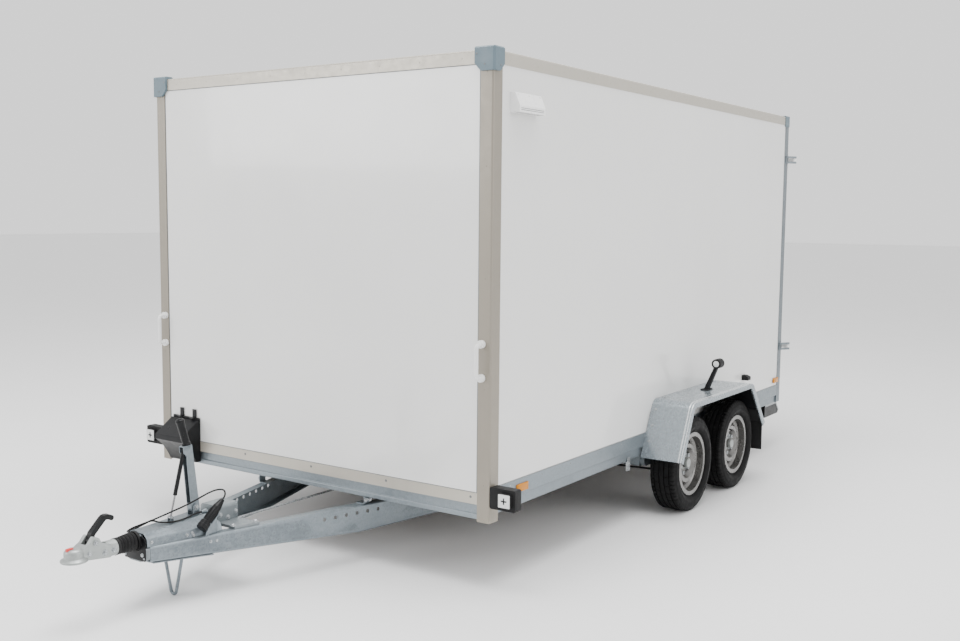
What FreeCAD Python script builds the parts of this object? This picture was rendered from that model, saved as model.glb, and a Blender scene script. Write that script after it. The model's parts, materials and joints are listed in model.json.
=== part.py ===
import FreeCAD, Part
import math
import os

# Closed box trailer with two axles, a V drawbar and twin rear doors.
# Millimetres. +Z is up, the drawbar points to -Y, the rear doors face +Y, and the ground is z = 0.

# Clearances and overruns
RUNNING_CLEARANCE = 0.05
SEAT_GAP = 0.3
CUT_OVERRUN = 5.0
ROUND_SHARE = 0.98
ARC_SHARE = 0.45

# Box body
BODY_WIDTH = 2074.0
BODY_LENGTH = 3562.0
BODY_TOP = 2249.0
POST_BOTTOM = 292.0
PANEL_THICKNESS = 20.0
PANEL_RECESS = 3.0
PROFILE_WALL = 3.0
PROFILE_ROUND = 9.0
POST_WIDTH = 64.0
POST_DEPTH = 50.0
LIP = 15.0
TOP_RAIL_HEIGHT = 57.0
TOP_RAIL_DEPTH = 35.0
BOTTOM_RAIL_LOW = 365.0
BOTTOM_RAIL_HIGH = 414.0
BOTTOM_RAIL_DEPTH = 30.0
FLOOR_TOP = 412.0
FLOOR_THICKNESS = 18.0

# Rear portal and doors
PORTAL_DEPTH = 60.0
PORTAL_WIDTH = 50.0
PORTAL_BOTTOM = 320.0
PORTAL_SILL_DEPTH = 30.0
SILL_TOP = 490.0
DOOR_SEAL_GAP = 5.0
DOOR_THICKNESS = 22.0
DOOR_FRAME_WIDTH = 38.0
DOOR_FRAME_PROUD = 2.0
DOOR_MEETING_GAP = 8.0
DOOR_SIDE_MARGIN = 6.0
DOOR_END_OVERLAP = 14.0
HINGE_OUTSET = 33.0
HINGE_BEHIND = 20.0
HINGE_HEIGHTS = (702.0, 1966.0)
HINGE_BLOCK = 48.0
HINGE_PIN_RADIUS = 5.0
HINGE_EYE_RADIUS = 10.5
HINGE_EYE_GAP = 1.0
HINGE_LEAF = 5.0
HINGE_STRAP_LENGTH = 120.0
HINGE_PLATE_LENGTH = 46.0
LOCK_BAR_RADIUS = 11.0
LOCK_BAR_FROM_EDGE = 70.0
LOCK_BAR_STANDOFF = 9.0
LOCK_BAR_OVERLAP = 30.0
LOCK_CLAMP_HEIGHTS = (560.0, 1330.0, 2100.0)
LOCK_CLAMP_HEIGHT = 34.0
LOCK_CLAMP_WALL = 5.0
LOCK_HANDLE_HEIGHT = 1120.0
LOCK_HANDLE_LENGTH = 300.0
LOCK_HANDLE_THICKNESS = 9.0
LOCK_HANDLE_DROP = 26.0
KEEPER_WALL = 5.0
KEEPER_CLEARANCE = 7.0
KEEPER_HEIGHT = 22.0

# Corner caps
CAP_PROUD = 12.0
CAP_ARM = 87.0
CAP_DROP = 86.0
CAP_CHAMFER = 30.0
CAP_EDGE_CHAMFER = 9.0
CAP_BEVEL = 6.0
REAR_CAP_PROUD = 4.0
REAR_CAP_DROP = 70.0

# Chassis
SHEET = 2.5
BEND = 4.0
SIDE_RAIL_TOP = 440.0
SIDE_RAIL_STEP_HEIGHT = 369.0
SIDE_RAIL_BOTTOM = 320.0
SIDE_RAIL_STEP = 9.0
SIDE_RAIL_FLANGE = 44.0
SIDE_RAIL_LIP = 16.0
FRONT_CHANNEL_BOTTOM = 301.0
FRONT_CHANNEL_STEP_HEIGHT = 324.0
FRONT_CHANNEL_STEP = 7.0
FRONT_CHANNEL_INSET = 9.0
FRONT_CHANNEL_FLANGE = 60.0
CROSS_MEMBER_FLANGE = 45.0
CROSS_MEMBER_LIP = 14.0
CROSS_MEMBER_PLACES = (620.0, 1400.0, 2860.0)
REAR_MEMBER_DEPTH = 46.0

# Drawbar
BEAM_FRONT = 965.0
BEAM_FRONT_HALF = 67.5
BEAM_REAR = 1480.0
BEAM_REAR_HALF = 742.5
BEAM_WIDTH = 47.0
BEAM_SHEET = 4.0
BEAM_BEND = 7.0
BEAM_FRONT_TOP = 258.0
BEAM_TOP = 261.0
BEAM_FRONT_HEIGHT = 64.0
BEAM_MIDDLE_HEIGHT = 128.0
BEAM_REAR_HEIGHT = 78.0
BEAM_HOLE_RADIUS = 9.0
BEAM_HOLE_PITCH = 57.5
BEAM_HOLE_COUNT = 6
BEAM_HOLE_START = 806.0
BEAM_HOLE_DROP = 34.0
SPACER_LENGTH = 40.0
SPACER_SET = 14.0
GUSSET_LENGTH = 250.0
GUSSET_SHEET = 4.0
GUSSET_BACKSET = 12.0
STIRRUP_ROD_RADIUS = 7.0
STIRRUP_BEND = 17.0
STIRRUP_HALF_TOP = 58.0
STIRRUP_FROM_NOSE = 515.0
STIRRUP_ROUNDS = 40

# Overrun unit
NOSE_REACH = 1314.0
SHAFT_HEIGHT = 278.0
SHAFT_RADIUS = 22.0
SHAFT_WALL = 5.0
SHAFT_REAR = 470.0
SHAFT_FRONT = 1150.0
FRONT_BRACKET_HALF = 66.0
FRONT_BRACKET_TOP = 305.0
FRONT_BRACKET_FOOT = 196.0
FRONT_BRACKET_FOOT_HALF = 30.0
FRONT_BRACKET_FRONT = 985.0
FRONT_BRACKET_SHOULDER = 26.0
FRONT_BRACKET_NECK = 33.0
FRONT_BRACKET_FLANGE_TOP = 254.0
FRONT_BRACKET_FLANGE_LOW = 206.0
FRONT_BRACKET_ROUND = 9.0
FRONT_BRACKET_BOLT = 7.0
FRONT_BRACKET_BOLT_SIDE = 48.0
FRONT_BRACKET_BOLT_DROP = 50.0
REAR_BRACKET_FRONT = 602.0
REAR_BRACKET_LENGTH = 112.0
REAR_BRACKET_HALF = 54.0
REAR_BRACKET_TOP = 341.0
REAR_BRACKET_BOTTOM = 246.0
REAR_BRACKET_ROUND = 14.0
REAR_BRACKET_EAR = 12.0
COVER_FRONT = 975.0
COVER_REAR = 640.0
COVER_SHEET = 3.0
COVER_FRONT_TOP = 310.0
COVER_REAR_TOP = 322.0
COVER_FRONT_TOP_HALF = 40.0
COVER_REAR_TOP_HALF = 42.0
COVER_FRONT_FOOT_HALF = 60.0
COVER_REAR_FOOT_HALF = 122.0
COVER_KNEE_HEIGHT = 289.0
COVER_FRONT_KNEE_HALF = 58.0
COVER_REAR_KNEE_HALF = 110.0
BELLOWS_FRONT_RADIUS = 34.0
BELLOWS_REAR_RADIUS = 41.0
BELLOWS_RIB_DEPTH = 6.0
BELLOWS_RIBS = 5
BELLOWS_LENGTH = 100.0
BELLOWS_COLLAR = 12.0

# Coupling head
BALL_RADIUS = 25.0
SOCKET_CLEARANCE = 0.4
SOCKET_WALL = 12.5
SOCKET_MOUTH = 266.0
SOCKET_DEPTH = 13.0
SOCKET_RIM = 13.0
SOCKET_RIM_HEIGHT = 8.0
HEAD_WIDTH = 64.0
HEAD_SIDE = ((1276.0, 273.0), (1119.0, 252.0), (1119.0, 303.0), (1161.0, 318.0), (1175.0, 342.0),
             (1198.0, 351.0), (1219.0, 326.0), (1259.0, 303.0), (1285.0, 285.0))
HEAD_SLOT_WIDTH = 30.0
HEAD_SLOT_HALF = 34.0
HEAD_SLOT_FLOOR = 305.0
HEAD_NOSE_HALF = 16.0
HEAD_COLLAR_RADIUS = 32.0
HEAD_COLLAR_LENGTH = 44.0
HEAD_PIVOT_RADIUS = 6.0
HEAD_ROUND = 8.0
HEAD_NOSE_ROUND = 5.0
HANDLE_WIDTH = 25.0
HANDLE_THICKNESS = 19.0
HANDLE_BEND = 22.0
HANDLE_BOSS_RADIUS = 16.0
HANDLE_PIVOT_BACK = 1190.0
HANDLE_PIVOT_HEIGHT = 326.0
HANDLE_NECK_BACK = 1188.0
HANDLE_NECK_HEIGHT = 354.0
HANDLE_BEND_BACK = 1127.0
HANDLE_BEND_HEIGHT = 412.0
HANDLE_TIP_BACK = 1092.0
HANDLE_TIP_HEIGHT = 396.0

# Handbrake lever and gas strut
LEVER_PIVOT_BACK = 688.0
LEVER_PIVOT_HEIGHT = 352.0
LEVER_TILT = 6.5
LEVER_RADIUS = 21.0
LEVER_LENGTH = 270.0
LEVER_BOTTOM_DEPTH = 44.0
LEVER_TOP_DEPTH = 36.0
LEVER_WIDTH = 27.0
LEVER_SHEET = 2.5
LEVER_NOSE = 11.0
LEVER_NOSE_LOW = 228.0
LEVER_NOSE_RISE = 14.0
LEVER_PIN_RADIUS = 6.0
LEVER_EAR_THICKNESS = 5.0
LEVER_EAR_RADIUS = 16.0
LEVER_EAR_GAP = 1.5
GRIP_LEAN = 10.5
GRIP_LENGTH = 118.0
GRIP_RADIUS = 18.5
TANG_RADIUS = 8.0
GRIP_WAIST = 3.0
GRIP_COLLAR = 8.0
GRIP_BORE_SHARE = 0.72
STRUT_TOP_ALONG = 254.0
STRUT_TOP_FORWARD = 16.0
STRUT_FOOT_BACK = 808.0
STRUT_FOOT_HEIGHT = 331.0
STRUT_BARREL_RADIUS = 8.5
STRUT_BARREL_LENGTH = 190.0
STRUT_ROD_RADIUS = 4.0
STRUT_BORE_START = 25.0
STRUT_ROD_LENGTH = 150.0
STRUT_EYE_RADIUS = 7.5
STRUT_EYE_THICKNESS = 10.0
STRUT_NECK_RADIUS = 4.0
STRUT_PIN_RADIUS = 4.0
STRUT_EAR_THICKNESS = 4.0
STRUT_EYE_CLEARANCE = 1.5

# Plug, its holder and the cable
PLUG_SIDE = 125.0
PLUG_TOP_BACK = 639.0
PLUG_TOP_HEIGHT = 391.0
PLUG_FOOT_BACK = 756.0
PLUG_FOOT_HEIGHT = 294.0
PLUG_BIG_RADIUS = 23.0
PLUG_BODY_RADIUS = 19.0
PLUG_NECK_RADIUS = 9.0
PLUG_STEP = 4.0
PLUG_RING_LENGTH_SHARE = 0.22
PLUG_BODY_LENGTH_SHARE = 0.72
HOLDER_THICKNESS = 4.0
HOLDER_SADDLE_WIDTH = 24.0
HOLDER_FRONT = 706.0
HOLDER_REAR = 672.0
HOLDER_FOOT_FRONT = 735.0
CABLE_RADIUS = 3.5
CABLE_EXIT_SIDE = 30.0
CABLE_EXIT_BACK = 672.0
CABLE_ROUTE = ((30.0, -700.0, 329.8), (34.0, -743.0, 324.0), (34.0, -790.0, 320.5),
               (22.0, -832.0, 320.0), (-10.0, -857.0, 320.5), (-49.0, -864.0, 325.0),
               (-82.0, -876.0, 306.0), (-102.0, -902.0, 290.0), (-103.0, -936.0, 286.0),
               (-83.0, -962.0, 294.0), (-52.0, -967.0, 313.0), (-26.0, -944.0, 327.0),
               (-10.0, -892.0, 338.0), (15.0, -849.0, 355.0), (52.0, -806.0, 378.0),
               (84.0, -764.0, 400.0), (107.0, -722.0, 424.0), (118.0, -692.0, 435.0),
               (122.0, -662.0, 438.0), (124.5, -633.6, 432.5), (125.0, -623.7, 418.7),
               (125.0, -625.91, 401.85))
GLAND_RADIUS = 9.0
GLAND_WALL = 1.5
GLAND_LENGTH = 18.0

# Wheel chock and its holder
CHOCK_LEFT = -946.0
CHOCK_WIDTH = 200.0
CHOCK_TOP = 532.0
CHOCK_BOTTOM = 316.0
CHOCK_REACH = 118.0
CHOCK_TIP_HEIGHT = 452.0
CHOCK_TIP = 24.0
CHOCK_TOE = 26.0
CHOCK_HOLLOW_RADIUS = 300.0
CHOCK_ROUND = 8.0
CHOCK_HOLDER_SHEET = 4.0
CHOCK_TAB_WIDTH = 26.0
CHOCK_TAB_RISE = 46.0
CHOCK_TAB_DEPTH = 26.0
CHOCK_TAB_PLACES_SHARES = (0.33, 0.80)

# Lamps, reflector carriers and small outside fittings
FRONT_LAMP_REACH = 128.0
FRONT_LAMP_LOW = 360.0
FRONT_LAMP_HIGH = 452.0
FRONT_LAMP_DEPTH = 46.0
FRONT_LAMP_LENS = 15.0
FRONT_LAMP_LENS_INSET = 15.0
FRONT_LAMP_ROUND = 9.0
TAIL_LAMP_WIDTH = 230.0
TAIL_LAMP_SIDE_INSET = 18.0
TAIL_LAMP_LENGTH = 270.0
TAIL_LAMP_REACH = 44.0
TAIL_LAMP_LOW = 234.0
TAIL_LAMP_STEP = 60.0
STALK_BASE_SIDE = 1142.0
STALK_BACK = 2028.0
STALK_HEAD_SIDE = 1206.0
STALK_HEAD_HEIGHT = 764.0
STALK_HEAD_RADIUS = 27.0
STALK_HEAD_LENGTH = 56.0
STALK_BASE_LENGTH = 84.0
STALK_BASE_WIDTH = 46.0
STALK_BASE_THICKNESS = 6.0
STALK_FOOT_WIDTH = 44.0
STALK_TOP_WIDTH = 26.0
STALK_THICKNESS = 22.0
HANDLE_LOW = 890.0
HANDLE_HIGH = 1066.0
HANDLE_SIDE_INSET = 44.0
HANDLE_REACH = 52.0
HANDLE_BAR_RADIUS = 9.0
HANDLE_FOOT_RADIUS = 17.0
HANDLE_FOOT_LENGTH = 16.0
VENT_START = 130.0
VENT_LENGTH = 205.0
VENT_LOW = 2006.0
VENT_HIGH = 2088.0
VENT_REACH = 46.0
VENT_WALL = 3.0
RETAINER_BACK = 2872.0
RETAINER_LENGTH = 46.0
RETAINER_LOW = 553.0
RETAINER_HEIGHT = 32.0
RETAINER_REACH = 44.0

# Running gear
WHEEL_PLACES = (1700.0, 2320.0)
TYRE_RADIUS = 256.0
TYRE_WIDTH = 157.0
TYRE_OUTER_SIDE = 1226.0
TYRE_SHOULDER = 26.0
TYRE_WALL = 11.0
TREAD_WIDTH = 124.0
RIM_RADIUS = 152.4
RIM_FLANGE_RADIUS = 169.5
RIM_WIDTH = 124.0
RIM_SHEET = 4.0
RIM_WELL_RADIUS = 136.0
DISC_OUTER_SET = 40.0
DISC_RIDGE_RADIUS = 92.0
DISC_RIDGE_SET = 26.0
HUB_FACE_SET = 56.0
HUB_FACE_RADIUS = 66.0
HUB_RADIUS = 37.0
HUB_CAP_LENGTH = 36.0
HUB_CAP_RADIUS = 24.0
VENT_HOLE_RADIUS = 9.0
VENT_HOLE_CIRCLE = 112.0
VENT_HOLE_COUNT = 10
LUG_COUNT = 5
LUG_CIRCLE = 56.0
LUG_RADIUS = 9.0
LUG_LENGTH = 13.0
DRUM_RADIUS = 112.0
DRUM_DEPTH = 62.0
AXLE_TUBE = 70.0
AXLE_TUBE_WALL = 6.0
AXLE_TUBE_ROUND = 9.0
ARM_LENGTH = 150.0
ARM_THICKNESS = 26.0
ARM_SMALL_RADIUS = 34.0
ARM_PIVOT_BOSS = 34.0
ARM_WAIST_SHARE = 0.8
ARM_SIDE = 1000.0
BACK_PLATE_RADIUS = 116.0
BACK_PLATE_THICKNESS = 4.0
BACK_PLATE_GAP = 5.0
STUB_RADIUS = 15.0
STUB_END_GAP = 12.0
AXLE_BRACKET_LENGTH = 100.0
AXLE_BRACKET_INSET = 45.0
AXLE_BRACKET_THICKNESS = 6.0

# Fenders and mud flaps
FENDER_SIDE = 1271.0
FENDER_TOP = 610.0
FENDER_FRONT_LOW = 1420.0
FENDER_FRONT_HIGH = 1560.0
FENDER_REAR_HIGH = 2420.0
FENDER_REAR_LOW = 2636.0
FENDER_LOW = 318.0
FENDER_REAR_LOW_HEIGHT = 345.0
FENDER_CORNER = 62.0
FENDER_SHEET = 2.5
FENDER_EDGE_DROP = 24.0
FENDER_BEAD_RADIUS = 6.0
FLAP_BOTTOM = 176.0
FLAP_TOP = 430.0
FLAP_WIDTH = 205.0
FLAP_THICKNESS = 6.0
FLAP_SIDE_GAP = 14.0

# Places worked out from the sizes above
HALF_WIDTH = BODY_WIDTH / 2
DOOR_FACE = BODY_LENGTH + DOOR_SEAL_GAP + DOOR_THICKNESS
DOOR_LOW = SILL_TOP - DOOR_END_OVERLAP
DOOR_HIGH = BODY_TOP - TOP_RAIL_HEIGHT + DOOR_END_OVERLAP
LOCK_BAR_LOW = DOOR_LOW - LOCK_BAR_OVERLAP
LOCK_BAR_HIGH = DOOR_HIGH + LOCK_BAR_OVERLAP
HINGE_AXIS_SIDE = HALF_WIDTH + HINGE_OUTSET
HINGE_AXIS_BACK = DOOR_FACE + HINGE_BEHIND
LOCK_BAR_AXIS_BACK = DOOR_FACE + DOOR_FRAME_PROUD + LOCK_BAR_STANDOFF + LOCK_BAR_RADIUS
REAR_REACH = LOCK_BAR_AXIS_BACK + LOCK_BAR_RADIUS + LOCK_HANDLE_THICKNESS
FRONT = (NOSE_REACH - REAR_REACH) / 2
WHEEL_CENTRE_SIDE = TYRE_OUTER_SIDE - TYRE_WIDTH / 2
RIM_OUTER_SIDE = WHEEL_CENTRE_SIDE + RIM_WIDTH / 2
HUB_FACE_SIDE = RIM_OUTER_SIDE - HUB_FACE_SET
FLOOR_BOTTOM = FLOOR_TOP - FLOOR_THICKNESS
PANEL_OUTER = HALF_WIDTH - PANEL_RECESS
PANEL_INNER = PANEL_OUTER - PANEL_THICKNESS
AXLE_TUBE_TOP = SIDE_RAIL_BOTTOM - AXLE_BRACKET_THICKNESS


def vec(x, y, z):
    return FreeCAD.Vector(x, y, z)


def back(distance):
    """Place behind the front wall's outer face."""
    return FRONT + distance


def in_plane(plane, a, b, c):
    """Point with coordinates a and b in a plane and c along its normal."""
    if plane == "yz":
        return vec(c, a, b)
    if plane == "xz":
        return vec(a, c, b)
    return vec(a, b, c)


def normal(plane, length):
    return in_plane(plane, 0, 0, length)


def corner_tangents(before, corner, after, radius):
    """Start, middle and end of the arc that rounds a corner."""
    ax, ay = before[0] - corner[0], before[1] - corner[1]
    bx, by = after[0] - corner[0], after[1] - corner[1]
    a_len, b_len = math.hypot(ax, ay), math.hypot(bx, by)
    ax, ay, bx, by = ax / a_len, ay / a_len, bx / b_len, by / b_len
    half = math.acos(max(-1, min(1, ax * bx + ay * by))) / 2
    reach = radius / math.tan(half)
    mx, my = ax + bx, ay + by
    m_len = math.hypot(mx, my)
    mx, my = mx / m_len, my / m_len
    depth = radius / math.sin(half) - radius
    start = (corner[0] + ax * reach, corner[1] + ay * reach)
    middle = (corner[0] + mx * depth, corner[1] + my * depth)
    end = (corner[0] + bx * reach, corner[1] + by * reach)
    return start, middle, end


def outline(points, radii, plane="xy", level=0, closed=True):
    """Wire of straight runs whose corners are rounded where their radius is not 0."""
    count = len(points)
    if not isinstance(radii, (list, tuple)):
        radii = [radii] * count
    marks = []
    for i, point in enumerate(points):
        inner = closed or 0 < i < count - 1
        if radii[i] > 0 and inner:
            marks.append(corner_tangents(points[i - 1], point, points[(i + 1) % count], radii[i]))
        else:
            marks.append((point, None, point))
    edges = []
    for i, (start, middle, end) in enumerate(marks):
        if middle is not None:
            arc = Part.Arc(in_plane(plane, *start, level), in_plane(plane, *middle, level),
                           in_plane(plane, *end, level))
            edges.append(arc.toShape())
        if i == count - 1 and not closed:
            break
        following = marks[(i + 1) % count][0]
        if math.hypot(following[0] - end[0], following[1] - end[1]) > RUNNING_CLEARANCE:
            line = Part.LineSegment(in_plane(plane, *end, level), in_plane(plane, *following, level))
            edges.append(line.toShape())
    return Part.Wire(Part.__sortEdges__(edges))


def prism(points, radii, plane, start, end):
    """Extrude a rounded outline along its plane's normal, from start to end."""
    face = Part.Face(outline(points, radii, plane, start))
    return face.extrude(normal(plane, end - start))


def sheet_outline(path, thickness, bend):
    """Outline and radii of a bent sheet whose middle follows an open path."""
    left, right, left_radii, right_radii = [], [], [], []
    half = thickness / 2
    count = len(path)
    for i, (px, py) in enumerate(path):
        directions = []
        if i > 0:
            directions.append((px - path[i - 1][0], py - path[i - 1][1]))
        if i < count - 1:
            directions.append((path[i + 1][0] - px, path[i + 1][1] - py))
        units = [(dx / math.hypot(dx, dy), dy / math.hypot(dx, dy)) for dx, dy in directions]
        nx = -sum(unit[1] for unit in units)
        ny = sum(unit[0] for unit in units)
        length = math.hypot(nx, ny)
        nx, ny = nx / length, ny / length
        cosine = nx * -units[0][1] + ny * units[0][0]
        turn = 0
        if len(units) == 2:
            turn = units[0][0] * units[1][1] - units[0][1] * units[1][0]
        left.append((px + nx * half / cosine, py + ny * half / cosine))
        right.append((px - nx * half / cosine, py - ny * half / cosine))
        if turn > 0:
            left_radii.append(bend - half)
            right_radii.append(bend + half)
        elif turn < 0:
            left_radii.append(bend + half)
            right_radii.append(bend - half)
        else:
            left_radii.append(0)
            right_radii.append(0)
    return left + right[::-1], left_radii + right_radii[::-1]


def sheet(path, thickness, bend, plane, start, end):
    """Bent sheet that follows an open path, extruded along the plane's normal."""
    points, radii = sheet_outline(path, thickness, bend)
    return prism(points, radii, plane, start, end)


def block(x_low, x_high, y_low, y_high, z_low, z_high, rounding=0, plane="xz"):
    """Rectangular prism with its edges along the plane's normal rounded."""
    if plane == "xz":
        points = [(x_low, z_low), (x_high, z_low), (x_high, z_high), (x_low, z_high)]
        return prism(points, rounding, plane, y_low, y_high)
    if plane == "yz":
        points = [(y_low, z_low), (y_high, z_low), (y_high, z_high), (y_low, z_high)]
        return prism(points, rounding, plane, x_low, x_high)
    points = [(x_low, y_low), (x_high, y_low), (x_high, y_high), (x_low, y_high)]
    return prism(points, rounding, plane, z_low, z_high)


def rod(radius, start, end):
    """Round bar between two points."""
    axis = end.sub(start)
    return Part.makeCylinder(radius, axis.Length, start, axis)


def spin(points, radii, origin, axis, sideways):
    """Turn an outline of (distance from the axis, place along it) all round the axis."""
    along = vec(*axis)
    out = vec(*sideways)
    flat = outline(points, radii, "xy", 0)
    matrix = FreeCAD.Matrix(out.x, along.x, out.cross(along).x, origin.x,
                            out.y, along.y, out.cross(along).y, origin.y,
                            out.z, along.z, out.cross(along).z, origin.z,
                            0, 0, 0, 1)
    face = Part.Face(flat.transformGeometry(matrix))
    return face.revolve(origin, along, 360)


def mirrored(shape):
    return shape.mirror(vec(0, 0, 0), vec(1, 0, 0))


def joined(shapes):
    """One solid from shapes that touch or overlap."""
    result = shapes[0].multiFuse(shapes[1:])
    return result.removeSplitter()


def side_rail():
    """Folded steel rail with a step, under the left wall."""
    face = HALF_WIDTH - SHEET / 2
    low_face = face - SIDE_RAIL_STEP
    bottom = SIDE_RAIL_BOTTOM + SHEET / 2
    path = [(face, SIDE_RAIL_TOP), (face, SIDE_RAIL_STEP_HEIGHT), (low_face, SIDE_RAIL_STEP_HEIGHT),
            (low_face, bottom), (low_face - SIDE_RAIL_FLANGE, bottom),
            (low_face - SIDE_RAIL_FLANGE, bottom + SIDE_RAIL_LIP)]
    return sheet(path, SHEET, BEND, "xz", back(POST_DEPTH + LIP), back(BODY_LENGTH - PORTAL_DEPTH))


def side_rail_inner():
    """Place of the rail's inner lip face, where the cross members end."""
    return HALF_WIDTH - SHEET / 2 - SIDE_RAIL_STEP - SIDE_RAIL_FLANGE - SHEET / 2


def front_channel():
    """Folded channel under the front wall's bottom rail."""
    face = back(FRONT_CHANNEL_INSET)
    low_face = face - FRONT_CHANNEL_STEP
    bottom = FRONT_CHANNEL_BOTTOM + SHEET / 2
    top = BOTTOM_RAIL_LOW - SHEET / 2
    path = [(face + FRONT_CHANNEL_FLANGE / 2, top), (face, top), (face, FRONT_CHANNEL_STEP_HEIGHT),
            (low_face, FRONT_CHANNEL_STEP_HEIGHT), (low_face, bottom),
            (low_face + FRONT_CHANNEL_FLANGE, bottom)]
    reach = HALF_WIDTH - POST_WIDTH - SEAT_GAP
    return sheet(path, SHEET, BEND, "yz", -reach, reach)


def cross_member(place):
    """Lipped channel across the chassis, carrying the floor."""
    web = back(place)
    top = FLOOR_BOTTOM - SHEET / 2
    bottom = FRONT_CHANNEL_BOTTOM + SHEET / 2
    path = [(web + CROSS_MEMBER_FLANGE, top - CROSS_MEMBER_LIP), (web + CROSS_MEMBER_FLANGE, top), (web, top),
            (web, bottom), (web + CROSS_MEMBER_FLANGE, bottom),
            (web + CROSS_MEMBER_FLANGE, bottom + CROSS_MEMBER_LIP)]
    reach = side_rail_inner()
    return sheet(path, SHEET, BEND, "yz", -reach, reach)


def rear_member():
    """Channel that closes the chassis in front of the rear portal."""
    web = back(BODY_LENGTH - PORTAL_DEPTH) - SHEET / 2
    top = FLOOR_BOTTOM - SHEET / 2
    bottom = SIDE_RAIL_BOTTOM + SHEET / 2
    path = [(web - REAR_MEMBER_DEPTH, top), (web, top), (web, bottom), (web - REAR_MEMBER_DEPTH, bottom),
            (web - REAR_MEMBER_DEPTH, bottom + CROSS_MEMBER_LIP)]
    reach = side_rail_inner()
    return sheet(path, SHEET, BEND, "yz", -reach, reach)


def beam_top(place):
    """Height of the beams' top, a distance behind the front wall."""
    share = min(1, (place + BEAM_FRONT) / BEAM_FRONT)
    return BEAM_FRONT_TOP + (BEAM_TOP - BEAM_FRONT_TOP) * share


def beam_outer(place):
    """Outer side of the beams, a distance behind the front wall."""
    share = (place + BEAM_FRONT) / (BEAM_REAR + BEAM_FRONT)
    return BEAM_FRONT_HALF + (BEAM_REAR_HALF - BEAM_FRONT_HALF) * share


def beam_section(place, height):
    """Channel section of the left beam, open to the inside, at one place along it."""
    top = beam_top(place)
    half = BEAM_SHEET / 2
    path = [(-BEAM_WIDTH, top - half), (-half, top - half), (-half, top - height + half),
            (-BEAM_WIDTH, top - height + half)]
    points, radii = sheet_outline(path, BEAM_SHEET, BEAM_BEND)
    section = outline(points, radii, "xz", 0)
    section.translate(vec(beam_outer(place), back(place), 0))
    return section


def drawbar_beam():
    """Tapered channel from the overrun unit to the front axle, with its row of holes and its spacers."""
    front = beam_section(-BEAM_FRONT, BEAM_FRONT_HEIGHT)
    middle = beam_section(0, BEAM_MIDDLE_HEIGHT)
    rear = beam_section(BEAM_REAR, BEAM_REAR_HEIGHT)
    beam = Part.makeLoft([front, middle, rear], True, True)
    slope = (BEAM_REAR_HALF - BEAM_FRONT_HALF) / (BEAM_REAR + BEAM_FRONT)
    stretch = math.sqrt(1 + slope * slope)
    inward = vec(-1, slope, 0).normalize()
    for i in range(BEAM_HOLE_COUNT):
        place = -BEAM_FRONT + (BEAM_HOLE_START + i * BEAM_HOLE_PITCH) / stretch
        centre = vec(beam_outer(place), back(place), beam_top(place) - BEAM_HOLE_DROP)
        beam = beam.cut(rod(BEAM_HOLE_RADIUS, centre.sub(inward * CUT_OVERRUN),
                            centre.add(inward * (BEAM_SHEET + CUT_OVERRUN))))
    return joined([beam] + [spacer(place + SPACER_SET) for place in (0,) + CROSS_MEMBER_PLACES[:2]])


def spacer(place):
    """Channel on the left beam that carries a member of the chassis."""
    side = beam_outer(place)
    low = BEAM_TOP + BEAM_SHEET / 2
    high = FRONT_CHANNEL_BOTTOM - SEAT_GAP - BEAM_SHEET / 2
    path = [(side - BEAM_WIDTH, low), (side, low), (side, high), (side - BEAM_WIDTH, high)]
    return sheet(path, BEAM_SHEET, BEAM_BEND, "xz", back(place), back(place + SPACER_LENGTH))


def beam_bottom(place):
    """Height of the beams' underside, a distance behind the front wall."""
    share = min(1, (place + BEAM_FRONT) / BEAM_FRONT)
    return beam_top(place) - BEAM_FRONT_HEIGHT - (BEAM_MIDDLE_HEIGHT - BEAM_FRONT_HEIGHT) * share


def gusset_bottom(place):
    """Height of the underside of the gusset below the beams."""
    return beam_bottom(place) - SEAT_GAP - GUSSET_SHEET


def slab_on_beams(front, rear, height_at, thickness, narrowing):
    """Flat plate across both beams that follows their slope."""
    profile = [(back(front), height_at(front)), (back(rear), height_at(rear)),
               (back(rear), height_at(rear) + thickness), (back(front), height_at(front) + thickness)]
    reach = beam_outer(rear)
    slab = prism(profile, 0, "yz", -reach, reach)
    plan = [(narrowing - beam_outer(front), back(front)), (beam_outer(front) - narrowing, back(front)),
            (beam_outer(rear) - narrowing, back(rear)), (narrowing - beam_outer(rear), back(rear))]
    low = min(height_at(front), height_at(rear)) - CUT_OVERRUN
    high = max(height_at(front), height_at(rear)) + thickness + CUT_OVERRUN
    return slab.common(prism(plan, 0, "xy", low, high))


def parking_stirrup():
    """Bent bar under the drawbar that the trailer stands on, welded to the gusset of the two beams."""
    front = -BEAM_FRONT + GUSSET_BACKSET
    plate = slab_on_beams(front, front + GUSSET_LENGTH, gusset_bottom, GUSSET_SHEET, 0)
    stand = STIRRUP_FROM_NOSE - NOSE_REACH
    low = gusset_bottom(stand) + GUSSET_SHEET / 2
    drop = 0
    for _ in range(STIRRUP_ROUNDS):
        half = math.atan2(STIRRUP_HALF_TOP, low - STIRRUP_ROD_RADIUS + drop)
        drop = STIRRUP_BEND / math.sin(half) - STIRRUP_BEND
    corner = STIRRUP_ROD_RADIUS - drop
    path = [(-STIRRUP_HALF_TOP, low), (0, corner), (STIRRUP_HALF_TOP, low)]
    spine = outline(path, STIRRUP_BEND, "xz", back(stand), closed=False)
    start = vec(-STIRRUP_HALF_TOP, back(stand), low)
    circle = Part.Wire(Part.makeCircle(STIRRUP_ROD_RADIUS, start, vec(STIRRUP_HALF_TOP, 0, corner - low)))
    bar = spine.makePipeShell([circle], True, False)
    wide = STIRRUP_HALF_TOP * 2
    above = block(-wide, wide, back(stand) - wide, back(stand) + wide, low + GUSSET_SHEET / 4,
                  low + GUSSET_LENGTH)
    return joined([plate, bar.cut(above)])


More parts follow.
